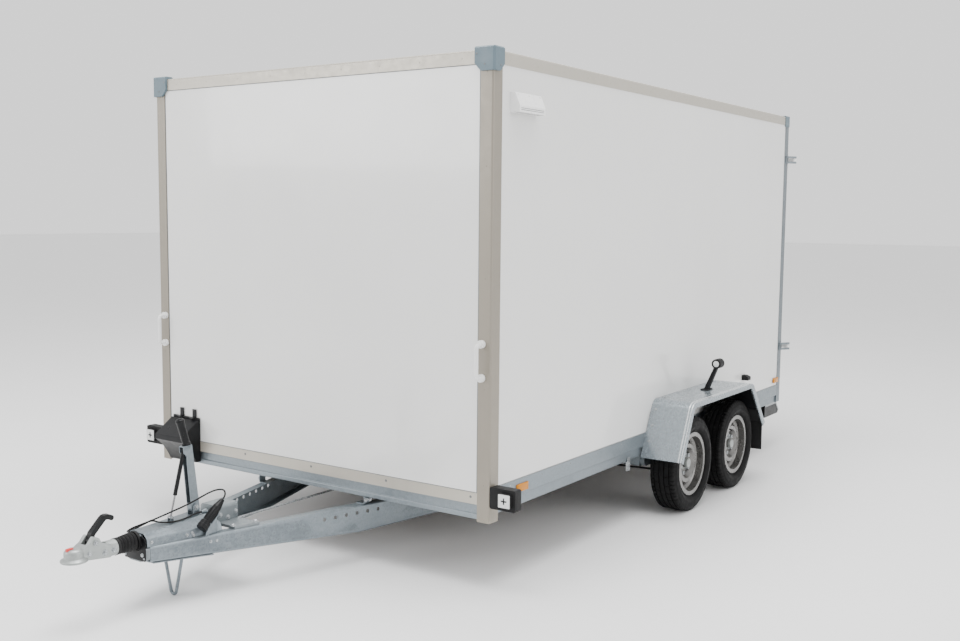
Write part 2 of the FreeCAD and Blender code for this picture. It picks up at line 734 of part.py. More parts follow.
def cover_top(place):
    """Height of the overrun cover's top, a distance behind the front wall."""
    share = (place + COVER_FRONT) / (COVER_FRONT - COVER_REAR)
    return COVER_FRONT_TOP + (COVER_REAR_TOP - COVER_FRONT_TOP) * share


def cover_section(place, top, top_half, knee_half, foot_half):
    """Folded section of the cover at one place, with its edges on the beams."""
    half = COVER_SHEET / 2
    middle = top - half
    seat = beam_top(place) + SEAT_GAP
    run, fall = foot_half - knee_half, COVER_KNEE_HEIGHT - seat
    foot = seat + half * run / math.hypot(run, fall)
    path = [(foot_half, foot), (knee_half, COVER_KNEE_HEIGHT), (top_half, middle), (-top_half, middle),
            (-knee_half, COVER_KNEE_HEIGHT), (-foot_half, foot)]
    points, radii = sheet_outline(path, COVER_SHEET, BEND + COVER_SHEET)
    return outline(points, radii, "xz", back(place))


def ear(radius, side_low, side_high, pivot, base):
    """Upright lug, round at its pivot and standing on a base height."""
    points = [(pivot.y - radius, base), (pivot.y + radius, base), (pivot.y + radius, pivot.z + radius),
              (pivot.y - radius, pivot.z + radius)]
    return prism(points, [0, 0, radius * ROUND_SHARE, radius * ROUND_SHARE], "yz", side_low, side_high)


def lever_pivot():
    return vec(0, back(-LEVER_PIVOT_BACK), LEVER_PIVOT_HEIGHT)


def strut_foot():
    return vec(0, back(-STRUT_FOOT_BACK), STRUT_FOOT_HEIGHT)


def strut_top():
    """Centre of the strut's upper pin, on the tilted lever."""
    tilt = math.radians(LEVER_TILT)
    forward, along = STRUT_TOP_FORWARD, STRUT_TOP_ALONG
    pivot = lever_pivot()
    return vec(0, pivot.y - forward * math.cos(tilt) - along * math.sin(tilt),
               pivot.z - forward * math.sin(tilt) + along * math.cos(tilt))


def overrun_cover():
    """Folded cover over the overrun unit, with the lever's and the strut's lugs and the cable's gland."""
    front = cover_section(-COVER_FRONT, COVER_FRONT_TOP, COVER_FRONT_TOP_HALF, COVER_FRONT_KNEE_HALF,
                          COVER_FRONT_FOOT_HALF)
    rear = cover_section(-COVER_REAR, COVER_REAR_TOP, COVER_REAR_TOP_HALF, COVER_REAR_KNEE_HALF,
                         COVER_REAR_FOOT_HALF)
    parts = [Part.makeLoft([front, rear], True, True), cable_gland()]
    pivot = lever_pivot()
    foot = strut_foot()
    lever_side = LEVER_WIDTH / 2 + LEVER_EAR_GAP
    strut_side = STRUT_EYE_THICKNESS / 2 + STRUT_EYE_CLEARANCE
    for sign in (1, -1):
        base = cover_top(-LEVER_PIVOT_BACK) - COVER_SHEET / 2
        sides = sorted((sign * lever_side, sign * (lever_side + LEVER_EAR_THICKNESS)))
        parts.append(ear(LEVER_EAR_RADIUS, sides[0], sides[1], pivot, base))
        base = cover_top(-STRUT_FOOT_BACK) - COVER_SHEET / 2
        sides = sorted((sign * strut_side, sign * (strut_side + STRUT_EAR_THICKNESS)))
        parts.append(ear(STRUT_EYE_RADIUS, sides[0], sides[1], foot, base))
    half = lever_side + LEVER_EAR_THICKNESS
    parts.append(rod(LEVER_PIN_RADIUS, vec(-half, pivot.y, pivot.z), vec(half, pivot.y, pivot.z)))
    return joined(parts)


def front_bracket():
    """Cast front guide of the coupling shaft, with a flange bolted to the beams' ends."""
    front = back(-FRONT_BRACKET_FRONT)
    rear = back(-BEAM_FRONT) - SEAT_GAP
    right = [(FRONT_BRACKET_FOOT_HALF, FRONT_BRACKET_FOOT), (FRONT_BRACKET_HALF, FRONT_BRACKET_FLANGE_LOW),
             (FRONT_BRACKET_HALF, FRONT_BRACKET_FLANGE_TOP), (FRONT_BRACKET_NECK, FRONT_BRACKET_FLANGE_TOP),
             (FRONT_BRACKET_SHOULDER, FRONT_BRACKET_TOP)]
    left = [(-x, z) for x, z in reversed(right)]
    large, small = FRONT_BRACKET_ROUND, FRONT_BRACKET_ROUND / 2
    radii = [large, large, small, small, large]
    plate = prism(right + left, radii + radii[::-1], "xz", front, rear)
    bore = rod(SHAFT_RADIUS + RUNNING_CLEARANCE, vec(0, front - CUT_OVERRUN, SHAFT_HEIGHT),
               vec(0, rear + CUT_OVERRUN, SHAFT_HEIGHT))
    height = SHAFT_HEIGHT - FRONT_BRACKET_BOLT_DROP
    bolts = [rod(FRONT_BRACKET_BOLT, vec(side, front - FRONT_BRACKET_BOLT, height), vec(side, rear, height))
             for side in (FRONT_BRACKET_BOLT_SIDE, -FRONT_BRACKET_BOLT_SIDE)]
    return joined([plate.cut(bore)] + bolts)


def rear_bracket_seat(place):
    """Height of the underside of the rear bracket's ears."""
    return beam_top(place) + SEAT_GAP


def rear_bracket():
    """Cast rear guide of the coupling shaft, with bolting ears on the beams."""
    start = -REAR_BRACKET_FRONT
    end = start + REAR_BRACKET_LENGTH
    body = block(-REAR_BRACKET_HALF, REAR_BRACKET_HALF, back(start), back(end), REAR_BRACKET_BOTTOM,
                 REAR_BRACKET_TOP, REAR_BRACKET_ROUND)
    ears = slab_on_beams(start, end, rear_bracket_seat, REAR_BRACKET_EAR, BEAM_WIDTH / 4)
    bore = rod(SHAFT_RADIUS + RUNNING_CLEARANCE, vec(0, back(start) - CUT_OVERRUN, SHAFT_HEIGHT),
               vec(0, back(end) + CUT_OVERRUN, SHAFT_HEIGHT))
    return joined([body, ears]).cut(bore)


def coupling_shaft():
    """Tube that slides in the two guides and carries the coupling head."""
    start = vec(0, back(-SHAFT_FRONT), SHAFT_HEIGHT)
    end = vec(0, back(-SHAFT_REAR), SHAFT_HEIGHT)
    inner = rod(SHAFT_RADIUS - SHAFT_WALL, start.sub(vec(0, CUT_OVERRUN, 0)), end.add(vec(0, CUT_OVERRUN, 0)))
    return rod(SHAFT_RADIUS, start, end).cut(inner)


def bellows():
    """Rubber bellows with round ribs between the coupling head and the front bracket."""
    length = BELLOWS_LENGTH
    bore = SHAFT_RADIUS + SEAT_GAP
    points = [(bore, 0), (bore, length), (BELLOWS_REAR_RADIUS, length),
              (BELLOWS_REAR_RADIUS, length - BELLOWS_COLLAR)]
    radii = [0, 0, 2 * SEAT_GAP, 0]
    ribs = BELLOWS_RIBS
    pitch = (length - 2 * BELLOWS_COLLAR) / ribs
    for i in range(ribs):
        share = 1 - (i + 1 / 2) / ribs
        crest = BELLOWS_FRONT_RADIUS + (BELLOWS_REAR_RADIUS - BELLOWS_FRONT_RADIUS) * share
        valley = crest - BELLOWS_RIB_DEPTH
        high = length - BELLOWS_COLLAR - i * pitch
        points += [(valley, high), (crest, high - pitch / 2)]
        radii += [0, pitch / 6]
    points += [(BELLOWS_FRONT_RADIUS - BELLOWS_RIB_DEPTH, BELLOWS_COLLAR),
               (BELLOWS_FRONT_RADIUS, BELLOWS_COLLAR), (BELLOWS_FRONT_RADIUS, 0)]
    radii += [0, 0, 0]
    origin = vec(0, back(-FRONT_BRACKET_FRONT - BELLOWS_LENGTH), SHAFT_HEIGHT)
    return spin(points, radii, origin, (0, 1, 0), (1, 0, 0))


def coupling_head():
    """Cast head: a cup over the ball, two ears for the handle, and a collar on the shaft."""
    outer = BALL_RADIUS + SOCKET_CLEARANCE + SOCKET_WALL
    rim = outer + SOCKET_RIM
    centre = vec(0, back(-NOSE_REACH) + rim, 0)
    centre_height = SOCKET_MOUTH + SOCKET_DEPTH
    dome_top = centre_height + outer
    cup_points = [(0, SOCKET_MOUTH), (rim, SOCKET_MOUTH), (rim, SOCKET_MOUTH + SOCKET_RIM_HEIGHT),
                  (outer, SOCKET_MOUTH + 2 * SOCKET_RIM_HEIGHT), (outer, dome_top), (0, dome_top)]
    soft = SOCKET_RIM_HEIGHT / 3
    cup = spin(cup_points, [0, soft, soft, soft, outer / 2, 0], centre, (0, 0, 1), (1, 0, 0))
    collar_front = back(-FRONT_BRACKET_FRONT - BELLOWS_LENGTH) - SEAT_GAP - HEAD_COLLAR_LENGTH
    collar_rear = collar_front + HEAD_COLLAR_LENGTH
    collar = rod(HEAD_COLLAR_RADIUS, vec(0, collar_front, SHAFT_HEIGHT), vec(0, collar_rear, SHAFT_HEIGHT))
    ear_middle = back(-HANDLE_PIVOT_BACK)
    side = [(back(-y), z) for y, z in HEAD_SIDE]
    radii = [HEAD_NOSE_ROUND] + [HEAD_ROUND] * (len(side) - 2) + [HEAD_NOSE_ROUND]
    body = prism(side, radii, "yz", -HEAD_WIDTH / 2, HEAD_WIDTH / 2)
    body_rear = max(y for y, _ in side)
    ear_top = max(z for _, z in side)
    plan = [(-HEAD_WIDTH / 2, collar_rear), (HEAD_WIDTH / 2, collar_rear), (HEAD_WIDTH / 2, ear_middle),
            (outer, centre.y), (HEAD_NOSE_HALF, centre.y - outer), (-HEAD_NOSE_HALF, centre.y - outer),
            (-outer, centre.y), (-HEAD_WIDTH / 2, ear_middle)]
    low = min(z for _, z in side)
    body = body.common(prism(plan, [0, 0] + [HEAD_ROUND] * 6, "xy", low - CUT_OVERRUN, ear_top + CUT_OVERRUN))
    slot_half = HEAD_SLOT_WIDTH / 2
    slot = block(-slot_half, slot_half, ear_middle - HEAD_SLOT_HALF, body_rear + CUT_OVERRUN, HEAD_SLOT_FLOOR,
                 ear_top + CUT_OVERRUN, HEAD_ROUND / 2, "yz")
    pin = rod(HEAD_PIVOT_RADIUS, vec(-HEAD_WIDTH / 2 - SHEET, ear_middle, HANDLE_PIVOT_HEIGHT),
              vec(HEAD_WIDTH / 2 + SHEET, ear_middle, HANDLE_PIVOT_HEIGHT))
    head = joined([body.cut(slot), cup, collar, pin])
    ball = BALL_RADIUS + SOCKET_CLEARANCE
    cavity = Part.makeCylinder(ball, SOCKET_DEPTH + CUT_OVERRUN, vec(0, centre.y, SOCKET_MOUTH - CUT_OVERRUN))
    cavity = cavity.fuse(Part.makeSphere(ball, vec(0, centre.y, centre_height)))
    head = head.cut(cavity)
    bore = rod(SHAFT_RADIUS + RUNNING_CLEARANCE, vec(0, back(-SHAFT_FRONT) - SEAT_GAP, SHAFT_HEIGHT),
               vec(0, collar_rear + CUT_OVERRUN, SHAFT_HEIGHT))
    return head.cut(bore)


def coupling_handle():
    """Curved lever of the coupling head, on its pin between the ears."""
    pivot = (back(-HANDLE_PIVOT_BACK), HANDLE_PIVOT_HEIGHT)
    path = [pivot, (back(-HANDLE_NECK_BACK), HANDLE_NECK_HEIGHT),
            (back(-HANDLE_BEND_BACK), HANDLE_BEND_HEIGHT), (back(-HANDLE_TIP_BACK), HANDLE_TIP_HEIGHT)]
    points, radii = sheet_outline(path, HANDLE_THICKNESS, HANDLE_BEND)
    ends = HANDLE_THICKNESS * ROUND_SHARE / 2
    radii = [radius if radius > 0 else ends for radius in radii]
    half = HANDLE_WIDTH / 2
    boss = rod(HANDLE_BOSS_RADIUS, vec(-half, *pivot), vec(half, *pivot))
    strip = joined([prism(points, radii, "yz", -half, half), boss])
    return strip.cut(rod(HEAD_PIVOT_RADIUS + RUNNING_CLEARANCE, vec(-half - CUT_OVERRUN, *pivot),
                         vec(half + CUT_OVERRUN, *pivot)))


def tilted(shape):
    """Turn a shape built upright over the lever's pivot to the lever's rest angle."""
    shape.rotate(lever_pivot(), vec(1, 0, 0), LEVER_TILT)
    return shape


def cranked(shape):
    """Lean a shape built upright on the lever's top forward, as the grip leans."""
    shape.rotate(lever_pivot().add(vec(0, 0, LEVER_LENGTH)), vec(1, 0, 0), GRIP_LEAN)
    return shape


def brake_lever():
    """Channel lever, open to the front, with its hub, the strut's upper pin and a tang for the grip."""
    pivot = lever_pivot()
    bottom, top = LEVER_BOTTOM_DEPTH / 2, LEVER_TOP_DEPTH / 2
    half = LEVER_WIDTH / 2
    high = pivot.z + LEVER_LENGTH
    nose_low = pivot.z + LEVER_NOSE_LOW
    shape = [(pivot.y - bottom, pivot.z - LEVER_RADIUS), (pivot.y + bottom, pivot.z - LEVER_RADIUS),
             (pivot.y + top, high), (pivot.y - top - LEVER_NOSE, high),
             (pivot.y - top - LEVER_NOSE, nose_low + LEVER_NOSE_RISE), (pivot.y - top, nose_low)]
    hub_round = LEVER_RADIUS * ROUND_SHARE
    body = prism(shape, [hub_round, hub_round, BEND, BEND, BEND, BEND], "yz", -half, half)
    hollow_low = pivot.z + LEVER_RADIUS
    hollow = [(pivot.y - 2 * bottom, hollow_low), (pivot.y + bottom - LEVER_SHEET, hollow_low),
              (pivot.y + top - LEVER_SHEET, high - LEVER_SHEET), (pivot.y - 2 * bottom, high - LEVER_SHEET)]
    body = body.cut(prism(hollow, 0, "yz", -half + LEVER_SHEET, half - LEVER_SHEET))
    bore = rod(LEVER_PIN_RADIUS + RUNNING_CLEARANCE, vec(-half - CUT_OVERRUN, pivot.y, pivot.z),
               vec(half + CUT_OVERRUN, pivot.y, pivot.z))
    pin_place = vec(0, pivot.y - STRUT_TOP_FORWARD, pivot.z + STRUT_TOP_ALONG)
    pin = rod(STRUT_PIN_RADIUS, pin_place.sub(vec(half, 0, 0)), pin_place.add(vec(half, 0, 0)))
    tang_top = high + GRIP_LENGTH * GRIP_BORE_SHARE
    tang = cranked(rod(TANG_RADIUS, vec(0, pivot.y, high - LEVER_SHEET), vec(0, pivot.y, tang_top)))
    return tilted(joined([body.cut(bore), pin, tang]))


def lever_grip():
    """Ribbed hand grip pushed on the lever's tang, its foot cut level with the lever's top."""
    radius = GRIP_RADIUS
    bore = TANG_RADIUS + SEAT_GAP
    depth = GRIP_LENGTH * GRIP_BORE_SHARE + SEAT_GAP
    waist = radius - GRIP_WAIST
    points = [(bore, -GRIP_COLLAR), (radius, -GRIP_COLLAR), (radius, GRIP_COLLAR),
              (waist, GRIP_COLLAR + GRIP_WAIST),
              (waist, GRIP_LENGTH / 2), (radius - GRIP_WAIST / 2, GRIP_LENGTH - 2 * GRIP_COLLAR),
              (radius, GRIP_LENGTH), (0, GRIP_LENGTH), (0, depth), (bore, depth)]
    radii = [0, 0, GRIP_WAIST, GRIP_WAIST, GRIP_COLLAR, GRIP_COLLAR, GRIP_COLLAR, 0, 0, 0]
    pivot = lever_pivot()
    level = pivot.z + LEVER_LENGTH
    grip = cranked(spin(points, radii, vec(0, pivot.y, level), (0, 0, 1), (1, 0, 0)))
    below = block(-2 * radius, 2 * radius, pivot.y - 2 * radius, pivot.y + 2 * radius,
                  level - 2 * GRIP_COLLAR, level + SEAT_GAP)
    return tilted(grip.cut(below))


def strut_direction():
    return strut_foot().sub(strut_top()).normalize()


def strut_barrel():
    """Closed tube of the gas strut with its upper eye."""
    top = strut_top()
    direction = strut_direction()
    half = STRUT_EYE_THICKNESS / 2
    body = rod(STRUT_BARREL_RADIUS, top.add(direction * (STRUT_EYE_RADIUS + half / 2)),
               top.add(direction * STRUT_BARREL_LENGTH))
    bore = rod(STRUT_ROD_RADIUS + RUNNING_CLEARANCE, top.add(direction * STRUT_BORE_START),
               top.add(direction * (STRUT_BARREL_LENGTH + CUT_OVERRUN)))
    eye = rod(STRUT_EYE_RADIUS, top.sub(vec(half, 0, 0)), top.add(vec(half, 0, 0)))
    neck = rod(STRUT_NECK_RADIUS, top, top.add(direction * (STRUT_EYE_RADIUS + half)))
    pin_hole = rod(STRUT_PIN_RADIUS + RUNNING_CLEARANCE, top.sub(vec(half + CUT_OVERRUN, 0, 0)),
                   top.add(vec(half + CUT_OVERRUN, 0, 0)))
    return joined([body.cut(bore), eye, neck]).cut(pin_hole)


def strut_rod():
    """Piston rod of the gas strut with its lower eye."""
    foot = strut_foot()
    direction = strut_direction()
    half = STRUT_EYE_THICKNESS / 2
    body = rod(STRUT_ROD_RADIUS, foot, foot.sub(direction * STRUT_ROD_LENGTH))
    eye = rod(STRUT_EYE_RADIUS, foot.sub(vec(half, 0, 0)), foot.add(vec(half, 0, 0)))
    return joined([body, eye])


def plug_line():
    """Big end, small end and direction of the parked plug."""
    foot = vec(PLUG_SIDE, back(-PLUG_FOOT_BACK), PLUG_FOOT_HEIGHT)
    top = vec(PLUG_SIDE, back(-PLUG_TOP_BACK), PLUG_TOP_HEIGHT)
    return foot, top, top.sub(foot).normalize()


def plug():
    """Round plug with a grip ring and a tapered cable end."""
    foot, top, direction = plug_line()
    length = top.sub(foot).Length
    ring = length * PLUG_RING_LENGTH_SHARE
    body = length * PLUG_BODY_LENGTH_SHARE
    points = [(0, 0), (PLUG_BIG_RADIUS, 0), (PLUG_BIG_RADIUS, ring), (PLUG_BODY_RADIUS, ring + PLUG_STEP),
              (PLUG_BODY_RADIUS, body), (PLUG_NECK_RADIUS, length), (0, length)]
    radii = [0, PLUG_STEP / 2, PLUG_STEP / 2, 0, 2 * PLUG_STEP, PLUG_STEP / 2, 0]
    return spin(points, radii, foot, (direction.x, direction.y, direction.z), (1, 0, 0))


def plug_holder():
    """Upright plate on the left beam with a saddle under the parked plug."""
    foot, top, direction = plug_line()
    drop = (PLUG_BODY_RADIUS + SEAT_GAP) / direction.y

    def under(y, depth):
        return foot.z + (back(-y) - foot.y) * direction.z / direction.y - drop - depth

    front, rear = HOLDER_FRONT, HOLDER_REAR
    thickness = HOLDER_THICKNESS / direction.y
    wide = HOLDER_SADDLE_WIDTH / 2
    saddle = prism([(back(-front), under(front, thickness)), (back(-rear), under(rear, thickness)),
                    (back(-rear), under(rear, 0)), (back(-front), under(front, 0))],
                   0, "yz", PLUG_SIDE - wide, PLUG_SIDE + wide)
    half = HOLDER_THICKNESS / 2
    low = beam_top(-rear) + SEAT_GAP
    plate = prism([(back(-HOLDER_FOOT_FRONT), low), (back(-rear), low), (back(-rear), under(rear, half)),
                   (back(-front), under(front, half))], 0, "yz", PLUG_SIDE - half, PLUG_SIDE + half)
    return joined([plate, saddle])


def cable_exit():
    """Middle of the gland's mouth, where the cable starts."""
    height = cover_top(-CABLE_EXIT_BACK) + GLAND_RADIUS - RUNNING_CLEARANCE
    return vec(CABLE_EXIT_SIDE, back(-CABLE_EXIT_BACK), height)


def cable_gland():
    """Tapered strain relief on the cover, where the cable comes out."""
    middle = cable_exit().add(vec(0, GLAND_LENGTH, 0))
    cone = Part.makeCone(GLAND_RADIUS, CABLE_RADIUS + GLAND_WALL, GLAND_LENGTH, middle, vec(0, -1, 0))
    tail = rod(GLAND_RADIUS, middle, middle.add(vec(0, GLAND_LENGTH / 2, 0)))
    return cone.fuse(tail)


def cable_points():
    """Route of the cable from its gland to the plug."""
    return [cable_exit()] + [vec(x, back(y), z) for x, y, z in CABLE_ROUTE] + [plug_line()[1]]


def cable():
    """Plain tube along the cable's route: straight runs joined by tangent arcs."""
    points = cable_points()
    edges = []
    bends = []
    previous = points[0]
    for i in range(1, len(points) - 1):
        to_last = points[i - 1].sub(points[i])
        to_next = points[i + 1].sub(points[i])
        reach = ARC_SHARE * min(to_last.Length, to_next.Length)
        turn = math.pi - to_last.getAngle(to_next)
        radius = reach / math.tan(turn / 2)
        start = points[i].add(to_last.normalize() * reach)
        end = points[i].add(to_next.normalize() * reach)
        inward = to_last.add(to_next).normalize()
        depth = radius / math.cos(turn / 2) - radius
        edges.append(Part.LineSegment(previous, start).toShape())
        edges.append(Part.Arc(start, points[i].add(inward * depth), end).toShape())
        bends.append("%.0f" % radius)
        previous = end
    edges.append(Part.LineSegment(previous, points[-1]).toShape())
    spine = Part.Wire(edges)
    print("cable length %.0f mm, bend radii %s mm" % (spine.Length, " ".join(bends)))
    circle = Part.Wire(Part.makeCircle(CABLE_RADIUS, points[0], points[1].sub(points[0])))
    return spine.makePipeShell([circle], True, False)


def wheel_chock():
    """Wedge of plastic with a hollow ramp, hung toe down on the front wall."""
    wall = back(-CHOCK_HOLDER_SHEET - SEAT_GAP)
    face = wall - CHOCK_REACH
    points = [(wall, CHOCK_BOTTOM), (wall, CHOCK_TOP), (face, CHOCK_TIP_HEIGHT),
              (face, CHOCK_TIP_HEIGHT - CHOCK_TIP), (wall - CHOCK_TOE, CHOCK_BOTTOM)]
    right = CHOCK_LEFT + CHOCK_WIDTH
    body = prism(points, [0, CHOCK_ROUND, CHOCK_ROUND, CHOCK_ROUND, CHOCK_ROUND], "yz", CHOCK_LEFT, right)
    ramp_low = vec(CHOCK_LEFT, wall - CHOCK_TOE, CHOCK_BOTTOM)
    ramp_high = vec(CHOCK_LEFT, face, CHOCK_TIP_HEIGHT - CHOCK_TIP)
    chord = ramp_high.sub(ramp_low)
    outward = vec(0, -chord.z, chord.y).normalize()
    rise = math.sqrt(CHOCK_HOLLOW_RADIUS ** 2 - (chord.Length / 2) ** 2)
    middle = ramp_low.add(chord * 0.5)
    if outward.z > 0:
        outward = outward * -1
    centre = middle.add(outward * rise)
    hollow = rod(CHOCK_HOLLOW_RADIUS, vec(CHOCK_LEFT - CUT_OVERRUN, centre.y, centre.z),
                 vec(right + CUT_OVERRUN, centre.y, centre.z))
    return body.cut(hollow)


def chock_holder():
    """Plate on the front wall with two hooked tabs and a ledge that hold the chock."""
    right = CHOCK_LEFT + CHOCK_WIDTH
    wall = FRONT
    face = wall - CHOCK_HOLDER_SHEET
    base = CHOCK_BOTTOM - SEAT_GAP
    edge = CHOCK_TOP + SEAT_GAP
    plate = block(CHOCK_LEFT, right, face, wall, base, edge + CHOCK_HOLDER_SHEET)
    ledge = block(CHOCK_LEFT, right, face - CHOCK_TOE, wall, base - CHOCK_HOLDER_SHEET, base)
    over, reach, high = edge + CHOCK_HOLDER_SHEET, wall - CHOCK_TAB_DEPTH, CHOCK_TOP + CHOCK_TAB_RISE
    hook = [(wall, edge), (reach, edge), (reach, over), (face, over), (face, high), (wall, high)]
    parts = [plate, ledge]
    for share in CHOCK_TAB_PLACES_SHARES:
        left = CHOCK_LEFT + CHOCK_WIDTH * share - CHOCK_TAB_WIDTH / 2
        parts.append(prism(hook, 0, "yz", left, left + CHOCK_TAB_WIDTH))
    return joined(parts)


def front_post():
    """Hollow corner extrusion with lips over the front and the side panel."""
    x = HALF_WIDTH
    y = FRONT
    wide = x - POST_WIDTH
    points = [(wide, y), (x, y), (x, y + POST_DEPTH + LIP), (x - PROFILE_WALL, y + POST_DEPTH + LIP),
              (x - PROFILE_WALL, y + POST_DEPTH), (wide + LIP, y + POST_DEPTH),
              (wide + LIP, y + PROFILE_WALL), (wide, y + PROFILE_WALL)]
    outer = prism(points, [0, PROFILE_ROUND, 0, 0, 0, 0, 0, 0], "xy", POST_BOTTOM, BODY_TOP)
    wall = PROFILE_WALL
    hollow = [(wide + LIP + wall, y + wall), (x - wall, y + wall), (x - wall, y + POST_DEPTH - wall),
              (wide + LIP + wall, y + POST_DEPTH - wall)]
    return outer.cut(prism(hollow, [0, PROFILE_ROUND - wall, 0, 0], "xy", POST_BOTTOM - CUT_OVERRUN,
                           BODY_TOP + CUT_OVERRUN))


def top_rail_outline(face, inward):
    """Outlines of a top rail and of its hollow, for a rail that lies inward of its face."""
    low, high = BODY_TOP - TOP_RAIL_HEIGHT, BODY_TOP
    wall = PROFILE_WALL
    skin = face + inward * wall
    inner = face + inward * TOP_RAIL_DEPTH
    lip = face + inward * (TOP_RAIL_DEPTH + LIP)
    points = [(face, low), (face, high), (lip, high), (lip, high - wall), (inner, high - wall),
              (inner, low + LIP), (skin, low + LIP), (skin, low)]
    hollow_end = inner - inward * wall
    hollow = [(skin, low + LIP + wall), (skin, high - wall), (hollow_end, high - wall),
              (hollow_end, low + LIP + wall)]
    return points, hollow


def top_rail(plane, face, inward, start, end):
    """Hollow extrusion along the roof's edge, with lips over the wall panel and the roof."""
    points, hollow = top_rail_outline(face, inward)
    outer = prism(points, [0, PROFILE_ROUND, 0, 0, 0, 0, 0, 0], plane, start, end)
    inner = prism(hollow, [0, PROFILE_ROUND - PROFILE_WALL, 0, 0], plane, start - CUT_OVERRUN,
                  end + CUT_OVERRUN)
    return outer.cut(inner)


def bottom_rail_front():
    """Extrusion under the front panel with a lip over it."""
    y = FRONT
    wall = PROFILE_WALL
    depth = BOTTOM_RAIL_DEPTH
    ledge = FLOOR_BOTTOM
    points = [(y, BOTTOM_RAIL_LOW), (y, BOTTOM_RAIL_HIGH), (y + wall, BOTTOM_RAIL_HIGH), (y + wall, ledge),
              (y + depth, ledge), (y + depth, BOTTOM_RAIL_LOW)]
    hollow = [(y + wall, BOTTOM_RAIL_LOW + wall), (y + wall, ledge - wall), (y + depth - wall, ledge - wall),
              (y + depth - wall, BOTTOM_RAIL_LOW + wall)]
    reach = HALF_WIDTH - POST_WIDTH
    outer = prism(points, 0, "yz", -reach, reach)
    return outer.cut(prism(hollow, 0, "yz", -reach - CUT_OVERRUN, reach + CUT_OVERRUN))


def front_panel():
    reach = HALF_WIDTH - POST_WIDTH + LIP
    return block(-reach, reach, back(PANEL_RECESS), back(PANEL_RECESS + PANEL_THICKNESS), FLOOR_BOTTOM,
                 BODY_TOP - TOP_RAIL_HEIGHT + LIP)


def side_panel():
    return block(PANEL_INNER, PANEL_OUTER, back(POST_DEPTH), back(BODY_LENGTH - PORTAL_DEPTH), FLOOR_BOTTOM,
                 BODY_TOP - TOP_RAIL_HEIGHT + LIP, 0, "yz")


def notched_plate(reach, start, low, high):
    """Plate over the whole plan with its front corners notched round the posts."""
    narrow = HALF_WIDTH - POST_WIDTH + LIP - SEAT_GAP
    notch = back(POST_DEPTH) + SEAT_GAP
    end = back(BODY_LENGTH - PORTAL_DEPTH)
    points = [(-narrow, start), (narrow, start), (narrow, notch), (reach, notch), (reach, end), (-reach, end),
              (-reach, notch), (-narrow, notch)]
    return prism(points, 0, "xy", low, high)


def roof_panel():
    high = BODY_TOP - PROFILE_WALL
    return notched_plate(HALF_WIDTH - TOP_RAIL_DEPTH, back(TOP_RAIL_DEPTH), high - PANEL_THICKNESS, high)


def floor_panel():
    start = back(PANEL_RECESS + PANEL_THICKNESS)
    return notched_plate(PANEL_INNER - SEAT_GAP, start, FLOOR_BOTTOM, FLOOR_TOP)


def corner_cap():
    """Moulded cap over the left front corner, with chamfered arms."""
    x, y, z = HALF_WIDTH + CAP_PROUD, FRONT - CAP_PROUD, BODY_TOP + CAP_PROUD
    inner_x, inner_y, low = x - CAP_ARM - CAP_PROUD, y + CAP_ARM - CAP_PROUD, z - CAP_DROP - CAP_PROUD
    chamfer = CAP_CHAMFER
    edge = CAP_EDGE_CHAMFER
    front = prism([(inner_x, z), (inner_x, low + chamfer), (inner_x + chamfer, low), (x, low), (x, z)],
                  0, "xz", y, inner_y)
    side = prism([(inner_y, z), (inner_y, low + chamfer), (inner_y - chamfer, low), (y, low), (y, z)],
                 0, "yz", inner_x, x)
    top = prism([(inner_x, y), (x - edge, y), (x, y + edge), (x, inner_y), (inner_x + chamfer, inner_y),
                 (inner_x, inner_y - chamfer)], 0, "xy", low, z)
    core = block(inner_x - CUT_OVERRUN, HALF_WIDTH + SEAT_GAP, FRONT - SEAT_GAP, inner_y + CUT_OVERRUN,
                 low - CUT_OVERRUN, BODY_TOP + SEAT_GAP)
    cap = front.common(side).common(top).cut(core)
    side_bevel = prism([(x - CAP_BEVEL, z), (x, z), (x, z - CAP_BEVEL)], 0, "xz", y - CUT_OVERRUN,
                       inner_y + CUT_OVERRUN)
    front_bevel = prism([(y, z), (y + CAP_BEVEL, z), (y, z - CAP_BEVEL)], 0, "yz", inner_x - CUT_OVERRUN,
                        x + CUT_OVERRUN)
    return cap.cut(side_bevel).cut(front_bevel)


def rear_cap():
    """Angle plate over the joint of the side rail and the portal, at the rear."""
    x, z = HALF_WIDTH + REAR_CAP_PROUD, BODY_TOP + REAR_CAP_PROUD
    side, top = HALF_WIDTH + SEAT_GAP, BODY_TOP + SEAT_GAP
    points = [(x - REAR_CAP_DROP, z), (x, z), (x, z - REAR_CAP_DROP), (side, z - REAR_CAP_DROP), (side, top),
              (x - REAR_CAP_DROP, top)]
    start = back(BODY_LENGTH - PORTAL_DEPTH - LIP)
    return prism(points, [0, BEND, 0, 0, 0, 0], "xz", start, back(BODY_LENGTH))


def rear_portal():
    """Welded rear frame: two posts, a head and a sill around the doorway, with hinge lugs and keepers."""
    y_low, y_high = back(BODY_LENGTH - PORTAL_DEPTH), back(BODY_LENGTH)
    inner = HALF_WIDTH - PORTAL_WIDTH
    frame = block(-HALF_WIDTH, HALF_WIDTH, y_low, y_high, PORTAL_BOTTOM, BODY_TOP, BEND)
    doorway = block(-inner, inner, y_low - CUT_OVERRUN, y_high + CUT_OVERRUN, SILL_TOP,
                    BODY_TOP - TOP_RAIL_HEIGHT, BEND)
    under = block(-inner, inner, y_low - CUT_OVERRUN, y_high - PORTAL_SILL_DEPTH, PORTAL_BOTTOM - CUT_OVERRUN,
                  FLOOR_TOP - PORTAL_SILL_DEPTH)
    parts = [frame.cut(doorway).cut(under)]
    for sign in (1, -1):
        for height in HINGE_HEIGHTS:
            parts.append(hinge_lugs(sign, height))
        parts += keepers(sign)
    return joined(parts)


